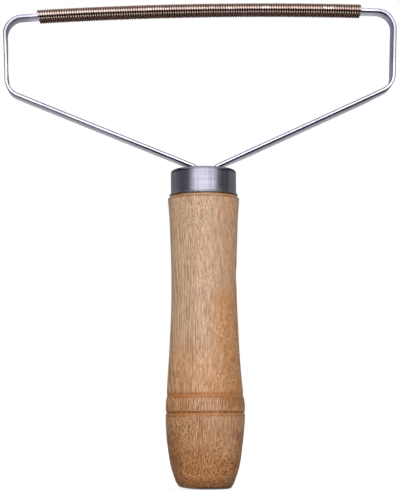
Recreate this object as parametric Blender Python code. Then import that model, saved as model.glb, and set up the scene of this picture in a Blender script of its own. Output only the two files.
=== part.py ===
"""A hand-held lint remover: a copper wire wound on a bent steel strip, held in a turned wooden handle.

Metres, +Z up along the handle, the front towards -Y. The origin is the middle of the handle's butt,
which stands on z = 0. The strip lies in the plane of X and Z, with its width along Y.
"""

import math

import bmesh
import bpy
from mathutils import Matrix, Vector

# Fits: the gap that each piece keeps to the one it sits on or passes through
CLEARANCE = 0.0003

# Turned handle, from the butt upwards
HANDLE_LENGTH = 0.1037
BUTT_FLAT_RADIUS = 0.0072
BUTT_EDGE_RADIUS = 0.0095
BUTT_EDGE_HEIGHT = 0.0009
HEEL_RADIUS = 0.01236
HEEL_HEIGHT = 0.0087
CHEEK_RADIUS = 0.01359
CHEEK_HEIGHT = 0.0172
BELLY_RADIUS = 0.01415
BELLY_HEIGHT = 0.0257
COLLAR_HEIGHT = 0.0324
NECK_RADIUS = 0.01358
NECK_HEIGHT = 0.0342
GRIP_RADIUS = 0.0125
GRIP_HEIGHT = 0.0503
WAIST_RADIUS = 0.0117
WAIST_HEIGHT = 0.0735
FLARE_RADIUS = 0.01222
FLARE_HEIGHT = 0.0945
SHOULDER_RADIUS = 0.01286
SHOULDER_CHAMFER = 0.0009
GROOVE_WIDTH = 0.0010
GROOVE_DEPTH = 0.0006
LOWER_GROOVE_HEIGHT = 0.0270

# Drawn steel cap over the handle's spigot
CAP_HEIGHT = 0.00975
CAP_RADIUS = 0.01178
CAP_WALL = 0.0007
CAP_SHOULDER_RUN = 0.0022
CAP_SHOULDER_DROP = 0.0013
CAP_LIP_FLARE = 0.0006
CAP_LIP_HEIGHT = 0.0022

# Flat steel strip bent into the head; corners are measured where the centrelines would meet
STRIP_THICKNESS = 0.0012
STRIP_WIDTH = 0.0095
STRIP_EDGE_RADIUS = 0.0003
TANG_SPACING = 0.0055
TANG_OFFSET = 0.0007
TANG_LENGTH = 0.0248
FORK_RISE = 0.00005
FORK_BEND_RADIUS = 0.0032
LEG_RISE = 0.02926
SIDE_HEIGHT = 0.02702
LOWER_SPAN = 0.1396
UPPER_SPAN = 0.1418
CORNER_BEND_RADIUS = 0.0064
BAR_CROWN_RADIUS = 1.36
HEAD_OFFSET = -0.00093
BAR_CANT = math.radians(1.0)
LOWER_CANT = math.radians(0.72)

# Copper wire wound round the bar
WIRE_DIAMETER = 0.00086
WINDING_LENGTH = 0.1177
WINDING_TURNS = 88
WINDING_CORNER = 0.00060

# Set resin round the tangs
RESIN_WALL = 0.0006
RESIN_FLOOR = 0.0012
RESIN_RECESS = 0.0010

# Facets
TURNED_SEGMENTS = 48
BEND_SEGMENTS = 8
CROWN_SEGMENTS = 20
STATION_STEPS = 4
ROUND_STEPS = 5

# Heights and radii that follow from the sizes above
CAP_BASE_Z = HANDLE_LENGTH + SHOULDER_CHAMFER + CLEARANCE
CAP_TOP_Z = CAP_BASE_Z + CAP_HEIGHT
SPIGOT_RADIUS = CAP_RADIUS - CAP_WALL - CLEARANCE
SPIGOT_TOP_Z = CAP_TOP_Z - CAP_WALL - CLEARANCE
FORK_Z = CAP_TOP_Z + FORK_RISE
LOWER_CORNER_Z = FORK_Z + LEG_RISE
UPPER_CORNER_Z = LOWER_CORNER_Z + SIDE_HEIGHT
TANG_END_Z = FORK_Z - TANG_LENGTH
BORE_FLOOR_Z = TANG_END_Z - CLEARANCE - RESIN_FLOOR - CLEARANCE
SLOT_HALF_WIDTH = STRIP_WIDTH / 2 + CLEARANCE
SLOT_REACH = abs(TANG_OFFSET) + TANG_SPACING / 2 + STRIP_THICKNESS / 2 + CLEARANCE
RESIN_RADIUS = math.hypot(SLOT_REACH, SLOT_HALF_WIDTH) + RESIN_WALL


def clear_scene():
    """Removes whatever the scene holds at the start."""
    for thing in list(bpy.data.objects):
        bpy.data.objects.remove(thing, do_unlink=True)


def material(name, colour, roughness, metallic):
    """A plain Principled material."""
    made = bpy.data.materials.new(name)
    made.use_nodes = True
    shader = made.node_tree.nodes["Principled BSDF"]
    shader.inputs["Base Color"].default_value = (*colour, 1.0)
    shader.inputs["Roughness"].default_value = roughness
    shader.inputs["Metallic"].default_value = metallic
    made.diffuse_color = (*colour, 1.0)
    return made


def mesh_object(name, mesh_builder, finish, sharp_angle=math.radians(35)):
    """An object in the scene from a bmesh, smooth but for its sharp edges."""
    mesh = bpy.data.meshes.new(name)
    bmesh.ops.recalc_face_normals(mesh_builder, faces=mesh_builder.faces)
    mesh_builder.to_mesh(mesh)
    mesh_builder.free()
    mesh.shade_smooth()
    mesh.set_sharp_from_angle(angle=sharp_angle)
    made = bpy.data.objects.new(name, mesh)
    made.data.materials.append(finish)
    bpy.context.scene.collection.objects.link(made)
    return made


def turned(name, outline, finish, closed):
    """A piece turned on the Z axis from (radius, height) points; a closed outline makes a ring."""
    lathe = bmesh.new()
    corners = [lathe.verts.new((radius, 0.0, height)) for radius, height in outline]
    edges = [lathe.edges.new(pair) for pair in zip(corners, corners[1:])]
    if closed:
        edges.append(lathe.edges.new((corners[-1], corners[0])))
    bmesh.ops.spin(lathe, geom=corners + edges, cent=(0, 0, 0), axis=(0, 0, 1), dvec=(0, 0, 0),
                   angle=math.tau, steps=TURNED_SEGMENTS, use_merge=True, use_duplicate=False)
    bmesh.ops.remove_doubles(lathe, verts=lathe.verts, dist=1e-6)
    return mesh_object(name, lathe, finish)


def through_stations(stations):
    """A smooth turned line through (radius, height) stations, by cubic pieces between them."""
    slopes = []
    for i, (radius, height) in enumerate(stations):
        before = stations[max(i - 1, 0)]
        after = stations[min(i + 1, len(stations) - 1)]
        slopes.append((after[0] - before[0]) / (after[1] - before[1]))
    line = []
    for i in range(len(stations) - 1):
        (r0, z0), (r1, z1) = stations[i], stations[i + 1]
        span = z1 - z0
        for step in range(STATION_STEPS):
            t = step / STATION_STEPS
            radius = ((2 * t**3 - 3 * t**2 + 1) * r0 + (t**3 - 2 * t**2 + t) * span * slopes[i]
                      + (3 * t**2 - 2 * t**3) * r1 + (t**3 - t**2) * span * slopes[i + 1])
            line.append((radius, z0 + t * span))
    line.append(stations[-1])
    return line


def quarter_round(outer_radius, base_z, run, drop):
    """The points over an elliptical shoulder, from its vertical side inwards to its flat top."""
    points = []
    for step in range(ROUND_STEPS + 1):
        angle = math.pi / 2 * step / ROUND_STEPS
        points.append((outer_radius - run + run * math.cos(angle), base_z + drop * math.sin(angle)))
    return points


def handle_outline():
    """The handle from the middle of its butt, up its outside and spigot, and down into its bore."""
    outline = [(0.0, 0.0), (BUTT_FLAT_RADIUS, 0.0)]
    outline += through_stations([(BUTT_EDGE_RADIUS, BUTT_EDGE_HEIGHT), (HEEL_RADIUS, HEEL_HEIGHT),
                                 (CHEEK_RADIUS, CHEEK_HEIGHT), (BELLY_RADIUS, BELLY_HEIGHT)])
    groove_top = LOWER_GROOVE_HEIGHT + GROOVE_WIDTH / 2
    outline += [(BELLY_RADIUS, LOWER_GROOVE_HEIGHT - GROOVE_WIDTH / 2),
                (BELLY_RADIUS - GROOVE_DEPTH, LOWER_GROOVE_HEIGHT), (BELLY_RADIUS, groove_top),
                (BELLY_RADIUS, COLLAR_HEIGHT)]
    outline += [(NECK_RADIUS - GROOVE_DEPTH / 2, (COLLAR_HEIGHT + NECK_HEIGHT) / 2)]
    outline += through_stations([(NECK_RADIUS, NECK_HEIGHT), (GRIP_RADIUS, GRIP_HEIGHT),
                                 (WAIST_RADIUS, WAIST_HEIGHT), (FLARE_RADIUS, FLARE_HEIGHT),
                                 (SHOULDER_RADIUS, HANDLE_LENGTH)])
    outline += [(SHOULDER_RADIUS - SHOULDER_CHAMFER, HANDLE_LENGTH + SHOULDER_CHAMFER),
                (SPIGOT_RADIUS, HANDLE_LENGTH + SHOULDER_CHAMFER),
                (SPIGOT_RADIUS, CAP_TOP_Z - CAP_SHOULDER_DROP - CLEARANCE),
                (CAP_RADIUS - CAP_SHOULDER_RUN - CLEARANCE, SPIGOT_TOP_Z),
                (RESIN_RADIUS + CLEARANCE, SPIGOT_TOP_Z),
                (RESIN_RADIUS + CLEARANCE, BORE_FLOOR_Z), (0.0, BORE_FLOOR_Z)]
    return outline


def fork_reach(side):
    """How far a leg's outer face stands from the handle's axis where it bends outwards in the cap's top."""
    fork, corner = fork_corner(side), lower_corner(side)
    turn = math.pi / 2 - math.atan2(corner.y - fork.y, abs(corner.x - fork.x))
    bend_z = FORK_Z - FORK_BEND_RADIUS * math.tan(turn / 2)
    inner = FORK_BEND_RADIUS - STRIP_THICKNESS / 2
    lift = min(max(CAP_TOP_Z - bend_z, 0.0), inner)
    return abs(fork.x) + FORK_BEND_RADIUS - math.sqrt(inner**2 - lift**2)


def cap_hole_radius():
    """The cap's round hole: over the bore, and clear of both legs where they bend outwards in it."""
    reach = max(fork_reach(-1), fork_reach(1))
    return max(RESIN_RADIUS + CLEARANCE, math.hypot(reach, STRIP_WIDTH / 2) + CLEARANCE)


def cap_outline():
    """The drawn cap's closed wall: up its outside, over the shoulder to the hole, and back down inside."""
    lip = [(CAP_LIP_FLARE, 0.0), (CAP_LIP_FLARE / 3, CAP_LIP_HEIGHT / 2), (0.0, CAP_LIP_HEIGHT)]
    outside = [(CAP_RADIUS + flare, CAP_BASE_Z + rise) for flare, rise in lip]
    outside += quarter_round(CAP_RADIUS, CAP_TOP_Z - CAP_SHOULDER_DROP, CAP_SHOULDER_RUN, CAP_SHOULDER_DROP)
    hole = cap_hole_radius()
    inner_radius = CAP_RADIUS - CAP_WALL
    inside = quarter_round(inner_radius, CAP_TOP_Z - CAP_SHOULDER_DROP, CAP_SHOULDER_RUN - CAP_WALL,
                           CAP_SHOULDER_DROP - CAP_WALL)
    inside = [(inner_radius + flare, CAP_BASE_Z + rise) for flare, rise in lip] + inside
    return outside + [(hole, CAP_TOP_Z), (hole, CAP_TOP_Z - CAP_WALL)] + inside[::-1]


def fork_corner(side):
    """Where a tang's and a leg's centrelines meet; side is -1 on the left and 1 on the right."""
    return Vector((TANG_OFFSET + side * TANG_SPACING / 2, FORK_Z))


def lower_corner(side):
    """Where a leg's and a short side's centrelines meet."""
    out = side * LOWER_SPAN / 2
    return Vector((HEAD_OFFSET + out, LOWER_CORNER_Z + out * math.tan(LOWER_CANT)))


def upper_corner(side):
    """Where a short side's and the top bar's centrelines meet."""
    out = side * UPPER_SPAN / 2
    return Vector((HEAD_OFFSET + out, UPPER_CORNER_Z + out * math.tan(BAR_CANT)))


def crown_centre():
    """The middle of the top bar's large arc, far below the bar."""
    left, right = upper_corner(-1), upper_corner(1)
    across = (right - left).normalized()
    down = Vector((across.y, -across.x))
    return (left + right) / 2 + down * math.sqrt(BAR_CROWN_RADIUS**2 - ((right - left).length / 2) ** 2)


def arc(centre, start, end, segments):
    """Points on the shorter arc from start to end about centre, both ends included."""
    first, last = start - centre, end - centre
    sweep = math.atan2(first.x * last.y - first.y * last.x, first.dot(last))
    return [centre + Matrix.Rotation(sweep * i / segments, 2) @ first for i in range(segments + 1)]


def bend(before, corner, after, radius):
    """The rounded corner between two straight runs."""
    towards, away = (before - corner).normalized(), (after - corner).normalized()
    half = math.acos(max(-1.0, min(1.0, towards.dot(away)))) / 2
    reach = radius / math.tan(half)
    centre = corner + (towards + away).normalized() * radius / math.sin(half)
    return arc(centre, corner + towards * reach, corner + away * reach, BEND_SEGMENTS)


def upper_bend(side):
    """The rounded upper corner on one side, from the short side up to the crowned bar."""
    corner, crown = upper_corner(side), crown_centre()
    down = (lower_corner(side) - corner).normalized()
    inward = Vector((down.y, -down.x)) * side
    start = corner + inward * CORNER_BEND_RADIUS - crown
    lean = start.dot(down)
    drop = -lean - math.sqrt(lean**2 - start.length_squared + (BAR_CROWN_RADIUS - CORNER_BEND_RADIUS) ** 2)
    centre = crown + start + down * drop
    on_bar = crown + (centre - crown).normalized() * BAR_CROWN_RADIUS
    return arc(centre, corner + down * drop, on_bar, BEND_SEGMENTS)


def strip_route():
    """The strip's centreline in the plane of X and Z, from the left tang's end round to the right one's."""
    halves = {}
    for side in (-1, 1):
        fork, corner, top = fork_corner(side), lower_corner(side), upper_bend(side)
        tang_end = Vector((fork.x, TANG_END_Z))
        halves[side] = [tang_end] + bend(tang_end, fork, corner, FORK_BEND_RADIUS)
        halves[side] += bend(fork, corner, top[0], CORNER_BEND_RADIUS) + top
    bar = arc(crown_centre(), halves[-1][-1], halves[1][-1], CROWN_SEGMENTS)
    return halves[-1] + bar[1:-1] + halves[1][::-1]


def strip_section():
    """The strip's rolled section as (along its thickness, along its width) points, with eased edges."""
    half_t, half_w, ease = STRIP_THICKNESS / 2, STRIP_WIDTH / 2, STRIP_EDGE_RADIUS
    section = []
    for quarter, (t, w) in enumerate(((1, 1), (-1, 1), (-1, -1), (1, -1))):
        for step in range(3):
            angle = math.pi / 2 * (quarter + step / 2)
            section.append((t * (half_t - ease) + ease * math.cos(angle),
                            w * (half_w - ease) + ease * math.sin(angle)))
    return section


def swept_strip(name, route, section, finish):
    """Carries the section along a flat route, mitred at each point so the strip keeps its thickness."""
    bar = bmesh.new()
    rings = []
    for i, point in enumerate(route):
        runs = []
        if i > 0:
            runs.append((point - route[i - 1]).normalized())
        if i < len(route) - 1:
            runs.append((route[i + 1] - point).normalized())
        along = sum(runs, Vector((0.0, 0.0))).normalized()
        stretch = 1.0 / along.dot(runs[0])
        normal = Vector((-along.y, along.x)) * stretch
        rings.append([bar.verts.new((point.x + normal.x * t, w, point.y + normal.y * t)) for t, w in section])
    for first, second in zip(rings, rings[1:]):
        for j in range(len(section)):
            k = (j + 1) % len(section)
            bar.faces.new((first[j], first[k], second[k], second[j]))
    bar.faces.new(rings[0])
    bar.faces.new(rings[-1][::-1])
    return mesh_object(name, bar, finish)


def winding_turn():
    """One turn round the bar as (along its thickness, along its width) points: a flat oval of eight."""
    half_t = STRIP_THICKNESS / 2 + CLEARANCE + WIRE_DIAMETER / 2
    half_w = STRIP_WIDTH / 2 + CLEARANCE + WIRE_DIAMETER / 2
    turn = []
    for t, w in ((1, -1), (1, 1), (-1, 1), (-1, -1)):
        flat = (t * half_t, w * (half_w - WINDING_CORNER))
        side = (t * (half_t - WINDING_CORNER), w * half_w)
        turn += [side, flat] if t * w < 0 else [flat, side]
    return turn


def winding_route():
    """The wire's centreline: even turns round the crowned bar, with a straight end of one diameter."""
    turn = winding_turn()
    lengths = [math.dist(turn[i], turn[(i + 1) % len(turn)]) for i in range(len(turn))]
    around = sum(lengths)
    pitch = (WINDING_LENGTH - WIRE_DIAMETER) / WINDING_TURNS
    crown = crown_centre()
    middle = math.atan2(HEAD_OFFSET - crown.x, UPPER_CORNER_Z - crown.y)
    route = []
    travelled = 0.0
    for i in range(WINDING_TURNS * len(turn) + 1):
        t, w = turn[i % len(turn)]
        along = pitch * travelled / around - pitch * WINDING_TURNS / 2
        angle = middle + along / BAR_CROWN_RADIUS
        reach = BAR_CROWN_RADIUS + t
        route.append(Vector((crown.x + reach * math.sin(angle), w, crown.y + reach * math.cos(angle))))
        travelled += lengths[i % len(turn)]
    for end, inner in ((0, 1), (-1, -2)):
        straight = (route[end] - route[inner]).normalized()
        route[end] = route[inner] + straight * WIRE_DIAMETER
    return route


def least_gap(route, diameter, near):
    """The least gap of a wound wire to itself, from points at least one turn apart along it."""
    least = math.inf
    for i, point in enumerate(route):
        for other in route[i + near:i + 2 * near + 1]:
            least = min(least, (point - other).length)
    return least - diameter


def wound_wire(name, route, finish):
    """The wire as one unbroken tube along its route."""
    curve = bpy.data.curves.new(name, "CURVE")
    curve.dimensions = "3D"
    curve.bevel_depth = WIRE_DIAMETER / 2
    curve.bevel_resolution = 1
    curve.use_fill_caps = True
    spline = curve.splines.new("POLY")
    spline.points.add(len(route) - 1)
    for knot, point in zip(spline.points, route):
        knot.co = (*point, 1.0)
    made = bpy.data.objects.new(name, curve)
    made.data.materials.append(finish)
    bpy.context.scene.collection.objects.link(made)
    return made


def cutter(name, size, centre):
    """A box that only cuts another piece."""
    block = bmesh.new()
    bmesh.ops.create_cube(block, size=1.0, matrix=Matrix.Translation(centre) @ Matrix.Diagonal((*size, 1.0)))
    mesh = bpy.data.meshes.new(name)
    block.to_mesh(mesh)
    block.free()
    made = bpy.data.objects.new(name, mesh)
    made.hide_render = True
    made.display_type = "WIRE"
    bpy.context.scene.collection.objects.link(made)
    return made


def resin_plug(finish):
    """The set resin: a plug that fills the bore, with a slot for each tang."""
    floor_z = BORE_FLOOR_Z + CLEARANCE
    top_z = SPIGOT_TOP_Z - RESIN_RECESS
    outline = [(0.0, floor_z), (RESIN_RADIUS, floor_z), (RESIN_RADIUS, top_z), (0.0, top_z)]
    plug = turned("resin_plug", outline, finish, closed=False)
    slot_floor = TANG_END_Z - CLEARANCE
    slot_top = top_z + RESIN_RECESS
    size = (STRIP_THICKNESS + 2 * CLEARANCE, 2 * SLOT_HALF_WIDTH, slot_top - slot_floor)
    for side in (-1, 1):
        centre = Vector((fork_corner(side).x, 0.0, (slot_top + slot_floor) / 2))
        cut = plug.modifiers.new("tang_slot", "BOOLEAN")
        cut.operation = "DIFFERENCE"
        cut.solver = "EXACT"
        cut.object = cutter("tang_slot_cutter", size, centre)
    return plug


def build():
    """Makes each piece in its place."""
    clear_scene()
    wood = material("oiled_hardwood", (0.47, 0.25, 0.13), 0.55, 0.0)
    steel = material("drawn_steel", (0.55, 0.55, 0.60), 0.28, 1.0)
    bright = material("bright_strip_steel", (0.75, 0.75, 0.80), 0.18, 1.0)
    copper = material("dark_copper", (0.33, 0.13, 0.09), 0.35, 1.0)
    resin = material("set_resin", (0.55, 0.38, 0.16), 0.3, 0.0)
    turned("wood_handle", handle_outline(), wood, closed=False)
    turned("ferrule_cap", cap_outline(), steel, closed=True)
    swept_strip("frame_strip", strip_route(), strip_section(), bright)
    wire_route = winding_route()
    wound_wire("copper_winding", wire_route, copper)
    gap = least_gap(wire_route, WIRE_DIAMETER, len(winding_turn()))
    print(f"copper_winding: least gap to itself {gap * 1000:.3f} mm over {WINDING_TURNS} turns")
    resin_plug(resin)


if __name__ == "__main__":
    build()
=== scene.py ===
"""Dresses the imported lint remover: a copper-wound steel head in a turned wooden handle.

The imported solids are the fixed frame. Everything is in metres in that frame: +Z up along the handle, the
front towards -Y, and the origin in the middle of the butt. Each sub-assembly is a class that holds its
sizes, builds its meshes and dresses them, and each finish is a frozen dataclass that builds one procedural
material. Inside the materials lengths are in millimetres.
"""

import logging
import math
import random
from collections.abc import Sequence
from dataclasses import dataclass, field
from enum import Enum
from typing import Optional, Union

import bmesh
import bpy
from mathutils import Matrix, Vector, noise


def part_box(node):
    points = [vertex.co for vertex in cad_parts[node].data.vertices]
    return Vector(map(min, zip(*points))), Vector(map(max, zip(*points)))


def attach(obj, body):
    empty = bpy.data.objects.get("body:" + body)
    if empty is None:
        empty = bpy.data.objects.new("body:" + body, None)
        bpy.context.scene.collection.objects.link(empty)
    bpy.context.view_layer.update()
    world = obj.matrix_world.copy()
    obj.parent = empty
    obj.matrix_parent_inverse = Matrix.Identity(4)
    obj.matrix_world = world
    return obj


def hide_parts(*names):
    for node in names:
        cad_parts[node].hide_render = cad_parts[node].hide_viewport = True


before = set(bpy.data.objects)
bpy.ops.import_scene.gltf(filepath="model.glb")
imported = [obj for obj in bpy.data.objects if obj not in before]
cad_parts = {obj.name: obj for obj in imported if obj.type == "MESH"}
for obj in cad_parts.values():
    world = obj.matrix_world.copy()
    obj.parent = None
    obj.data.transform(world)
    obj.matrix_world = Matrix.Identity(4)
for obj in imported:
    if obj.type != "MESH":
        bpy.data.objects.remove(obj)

LOG = logging.getLogger("lint_remover")
BODY = "root"
MM = 0.001
PER_METRE = 1000.0
WANDER_HEIGHT = 22 * MM
LIP_DROP = 0.02 * MM
CAP_SINK = 0.20 * MM
HOLE_PLAY = 0.3 * MM
MENISCUS = 0.3 * MM

Socket = bpy.types.NodeSocket
Triple = tuple[float, float, float]
Colour = Triple
Point = tuple[float, float]
Value = Union[Socket, float]
Tint = Union[Socket, Colour]


class Node(str, Enum):
    """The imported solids, by name."""

    HANDLE = "wood_handle"
    CAP = "ferrule_cap"
    STRIP = "frame_strip"
    WINDING = "copper_winding"
    PLUG = "resin_plug"


class Slot(str, Enum):
    """The record's material slots."""

    WOOD = "oiled_hardwood"
    DRAWN_STEEL = "drawn_steel"
    STRIP_STEEL = "bright_strip_steel"
    COPPER = "dark_copper"
    RESIN = "set_resin"


class Sum(str, Enum):
    """The sums that the materials use."""

    ADD = "ADD"
    TAKE = "SUBTRACT"
    TIMES = "MULTIPLY"
    ROOT = "SQRT"
    FRACTION = "FRACT"
    SIZE = "ABSOLUTE"
    LARGER = "MAXIMUM"
    SINE = "SINE"


class Layer(str, Enum):
    """The named coordinates that a mesh carries for its material."""

    RUN = "run"


class Nodes:
    """A node tree, with one short call for each kind of node that the finishes and the studio share."""

    def __init__(self, tree: bpy.types.NodeTree) -> None:
        """Takes the tree to work in."""
        self.tree = tree

    def node(self, kind: str) -> bpy.types.Node:
        """Adds one node of the given kind."""
        return self.tree.nodes.new(kind)

    def feed(self, socket: Socket, value: Union[Value, Colour]) -> None:
        """Links a socket to another one, or sets its value.

        Args:
            socket: the input.
            value: the output to link, or a plain number or colour.
        """
        if isinstance(value, bpy.types.NodeSocket):
            self.tree.links.new(value, socket)
        elif isinstance(value, tuple) and len(socket.default_value) == 4:
            socket.default_value = (*value, 1.0)
        else:
            socket.default_value = value

    def sum(self, kind: Sum, first: Value, second: Value = 0.0) -> Socket:
        """Works out one sum.

        Args:
            kind: which sum.
            first: its first value.
            second: its second value, where it has one.

        Returns:
            The result.
        """
        made = self.node("ShaderNodeMath")
        made.operation = kind.value
        self.feed(made.inputs[0], first)
        self.feed(made.inputs[1], second)
        return made.outputs[0]

    def times(self, first: Value, second: Value) -> Socket:
        """One value times another."""
        return self.sum(Sum.TIMES, first, second)

    def plus(self, first: Value, second: Value) -> Socket:
        """One value plus another."""
        return self.sum(Sum.ADD, first, second)

    def less(self, first: Value, second: Value) -> Socket:
        """One value less another."""
        return self.sum(Sum.TAKE, first, second)

    def larger(self, first: Value, second: Value) -> Socket:
        """The larger of two values."""
        return self.sum(Sum.LARGER, first, second)

    def size(self, value: Value) -> Socket:
        """A value without its sign."""
        return self.sum(Sum.SIZE, value)

    def root(self, value: Value) -> Socket:
        """A value's square root."""
        return self.sum(Sum.ROOT, value)

    def place(self) -> Socket:
        """The surface's place in the frame, in millimetres."""
        source = self.node("ShaderNodeTexCoord")
        return self.stretch(source.outputs["Object"], (PER_METRE, PER_METRE, PER_METRE))

    def facing(self) -> tuple[Socket, Socket, Socket]:
        """The way that the surface faces in the frame."""
        return self.split(self.node("ShaderNodeTexCoord").outputs["Normal"])

    def layer(self, name: Layer) -> Socket:
        """The coordinates that the mesh carries under a name.

        Args:
            name: which of them.

        Returns:
            The coordinates.
        """
        source = self.node("ShaderNodeUVMap")
        source.uv_map = name.value
        return source.outputs["UV"]

    def stretch(self, vector: Socket, by: Triple) -> Socket:
        """Multiplies a vector by three numbers.

        Args:
            vector: the vector.
            by: a number for each axis.

        Returns:
            The stretched vector.
        """
        made = self.node("ShaderNodeVectorMath")
        made.operation = "MULTIPLY"
        self.feed(made.inputs[0], vector)
        made.inputs[1].default_value = by
        return made.outputs[0]

    def shift(self, vector: Socket, by: Tint) -> Socket:
        """Adds to a vector.

        Args:
            vector: the vector.
            by: what is added.

        Returns:
            The shifted vector.
        """
        made = self.node("ShaderNodeVectorMath")
        made.operation = "ADD"
        self.feed(made.inputs[0], vector)
        self.feed(made.inputs[1], by)
        return made.outputs[0]

    def split(self, vector: Socket) -> tuple[Socket, Socket, Socket]:
        """A vector's three numbers.

        Args:
            vector: the vector.

        Returns:
            Its parts along x, y and z.
        """
        made = self.node("ShaderNodeSeparateXYZ")
        self.feed(made.inputs[0], vector)
        return made.outputs[0], made.outputs[1], made.outputs[2]

    def join(self, x: Value, y: Value, z: Value) -> Socket:
        """A vector from three numbers.

        Args:
            x: the first.
            y: the second.
            z: the third.

        Returns:
            The vector.
        """
        made = self.node("ShaderNodeCombineXYZ")
        for socket, value in zip(made.inputs, (x, y, z)):
            self.feed(socket, value)
        return made.outputs[0]

    def noise(self, vector: Socket, per_mm: Triple, detail: float = 2.0, rough: float = 0.5) -> Socket:
        """Soft noise, stretched differently along each axis.

        Args:
            vector: the place to read it at, in millimetres.
            per_mm: how fast it changes along each axis.
            detail: how many finer layers it holds.
            rough: how strong those are.

        Returns:
            A value about 0.5.
        """
        made = self.node("ShaderNodeTexNoise")
        self.feed(made.inputs["Vector"], self.stretch(vector, per_mm))
        made.inputs["Scale"].default_value = 1.0
        made.inputs["Detail"].default_value = detail
        made.inputs["Roughness"].default_value = rough
        return made.outputs[0]

    def drift(self, vector: Socket, per_mm: Triple, reach: Triple, part: Value) -> Socket:
        """A soft sideways push that changes from place to place.

        Args:
            vector: the place to read it at, in millimetres.
            per_mm: how fast it changes along each axis.
            reach: how far it pushes along each axis, in millimetres.
            part: the share of it that is used.

        Returns:
            The push, about nought.
        """
        made = self.node("ShaderNodeTexNoise")
        self.feed(made.inputs["Vector"], self.stretch(vector, per_mm))
        made.inputs["Scale"].default_value = 1.0
        made.inputs["Detail"].default_value = 1.5
        centred = self.shift(made.outputs["Color"], (-0.5, -0.5, -0.5))
        scaled = self.node("ShaderNodeVectorMath")
        scaled.operation = "SCALE"
        self.feed(scaled.inputs[0], self.stretch(centred, reach))
        self.feed(scaled.inputs["Scale"], part)
        return scaled.outputs[0]

    def cells(self, vector: Socket, per_mm: Triple) -> tuple[Socket, Socket]:
        """Scattered points: the distance to the nearest one, and a random number for it.

        Args:
            vector: the place to read it at, in millimetres.
            per_mm: how many points there are along each axis.

        Returns:
            The distance in cells, and a number from 0 to 1.
        """
        made = self.node("ShaderNodeTexVoronoi")
        self.feed(made.inputs["Vector"], self.stretch(vector, per_mm))
        made.inputs["Scale"].default_value = 1.0
        return made.outputs["Distance"], self.split(made.outputs["Color"])[0]

    def step(self, value: Socket, low: float, high: float, start: float = 0.0, end: float = 1.0) -> Socket:
        """A smooth step between two values.

        Args:
            value: what is read.
            low: where the step starts.
            high: where it ends; below low, the step runs the other way.
            start: the result before the step.
            end: the result after it.

        Returns:
            A value between start and end.
        """
        made = self.node("ShaderNodeMapRange")
        made.interpolation_type = "SMOOTHSTEP"
        self.feed(made.inputs["Value"], value)
        if low > high:
            low, high, start, end = high, low, end, start
        for name, number in (("From Min", low), ("From Max", high), ("To Min", start), ("To Max", end)):
            made.inputs[name].default_value = number
        return made.outputs[0]

    def band(self, value: Socket, middle: float, half: float, ease: float) -> Socket:
        """One inside a band about a middle value, falling to nought over an ease outside it."""
        away = self.size(self.less(value, middle))
        return self.step(away, half + ease, half)

    def mix(self, factor: Value, first: Tint, second: Tint) -> Socket:
        """Mixes two colours.

        Args:
            factor: how much of the second one shows.
            first: the first colour.
            second: the second colour.

        Returns:
            The mixed colour.
        """
        made = self.node("ShaderNodeMix")
        made.data_type = "RGBA"
        self.feed(made.inputs["Factor"], factor)
        self.feed(made.inputs[6], first)
        self.feed(made.inputs[7], second)
        return made.outputs[2]

    def bump(self, height: Socket, depth: float, strength: float, under: Optional[Socket] = None) -> Socket:
        """Fine relief.

        Args:
            height: the relief, from 0 to 1.
            depth: how deep it is, in metres.
            strength: how much of it shows.
            under: relief that this one lies over.

        Returns:
            The changed normal.
        """
        made = self.node("ShaderNodeBump")
        made.inputs["Strength"].default_value = strength
        made.inputs["Distance"].default_value = depth
        self.feed(made.inputs["Height"], height)
        if under is not None:
            self.feed(made.inputs["Normal"], under)
        return made.outputs[0]


class Weave(Nodes):
    """A new material's node tree, with its main shader at hand."""

    def __init__(self, name: str) -> None:
        """Makes the material.

        Args:
            name: the material's name.
        """
        self.material = bpy.data.materials.new(name)
        self.material.use_nodes = True
        super().__init__(self.material.node_tree)
        self.shader = self.tree.nodes["Principled BSDF"]


@dataclass(frozen=True)
class Cut:
    """One turned cut in the wood: where it is in millimetres, and how burnished and how scorched it is."""

    height: float
    half: float
    burnish: float
    scorch: float


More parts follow.
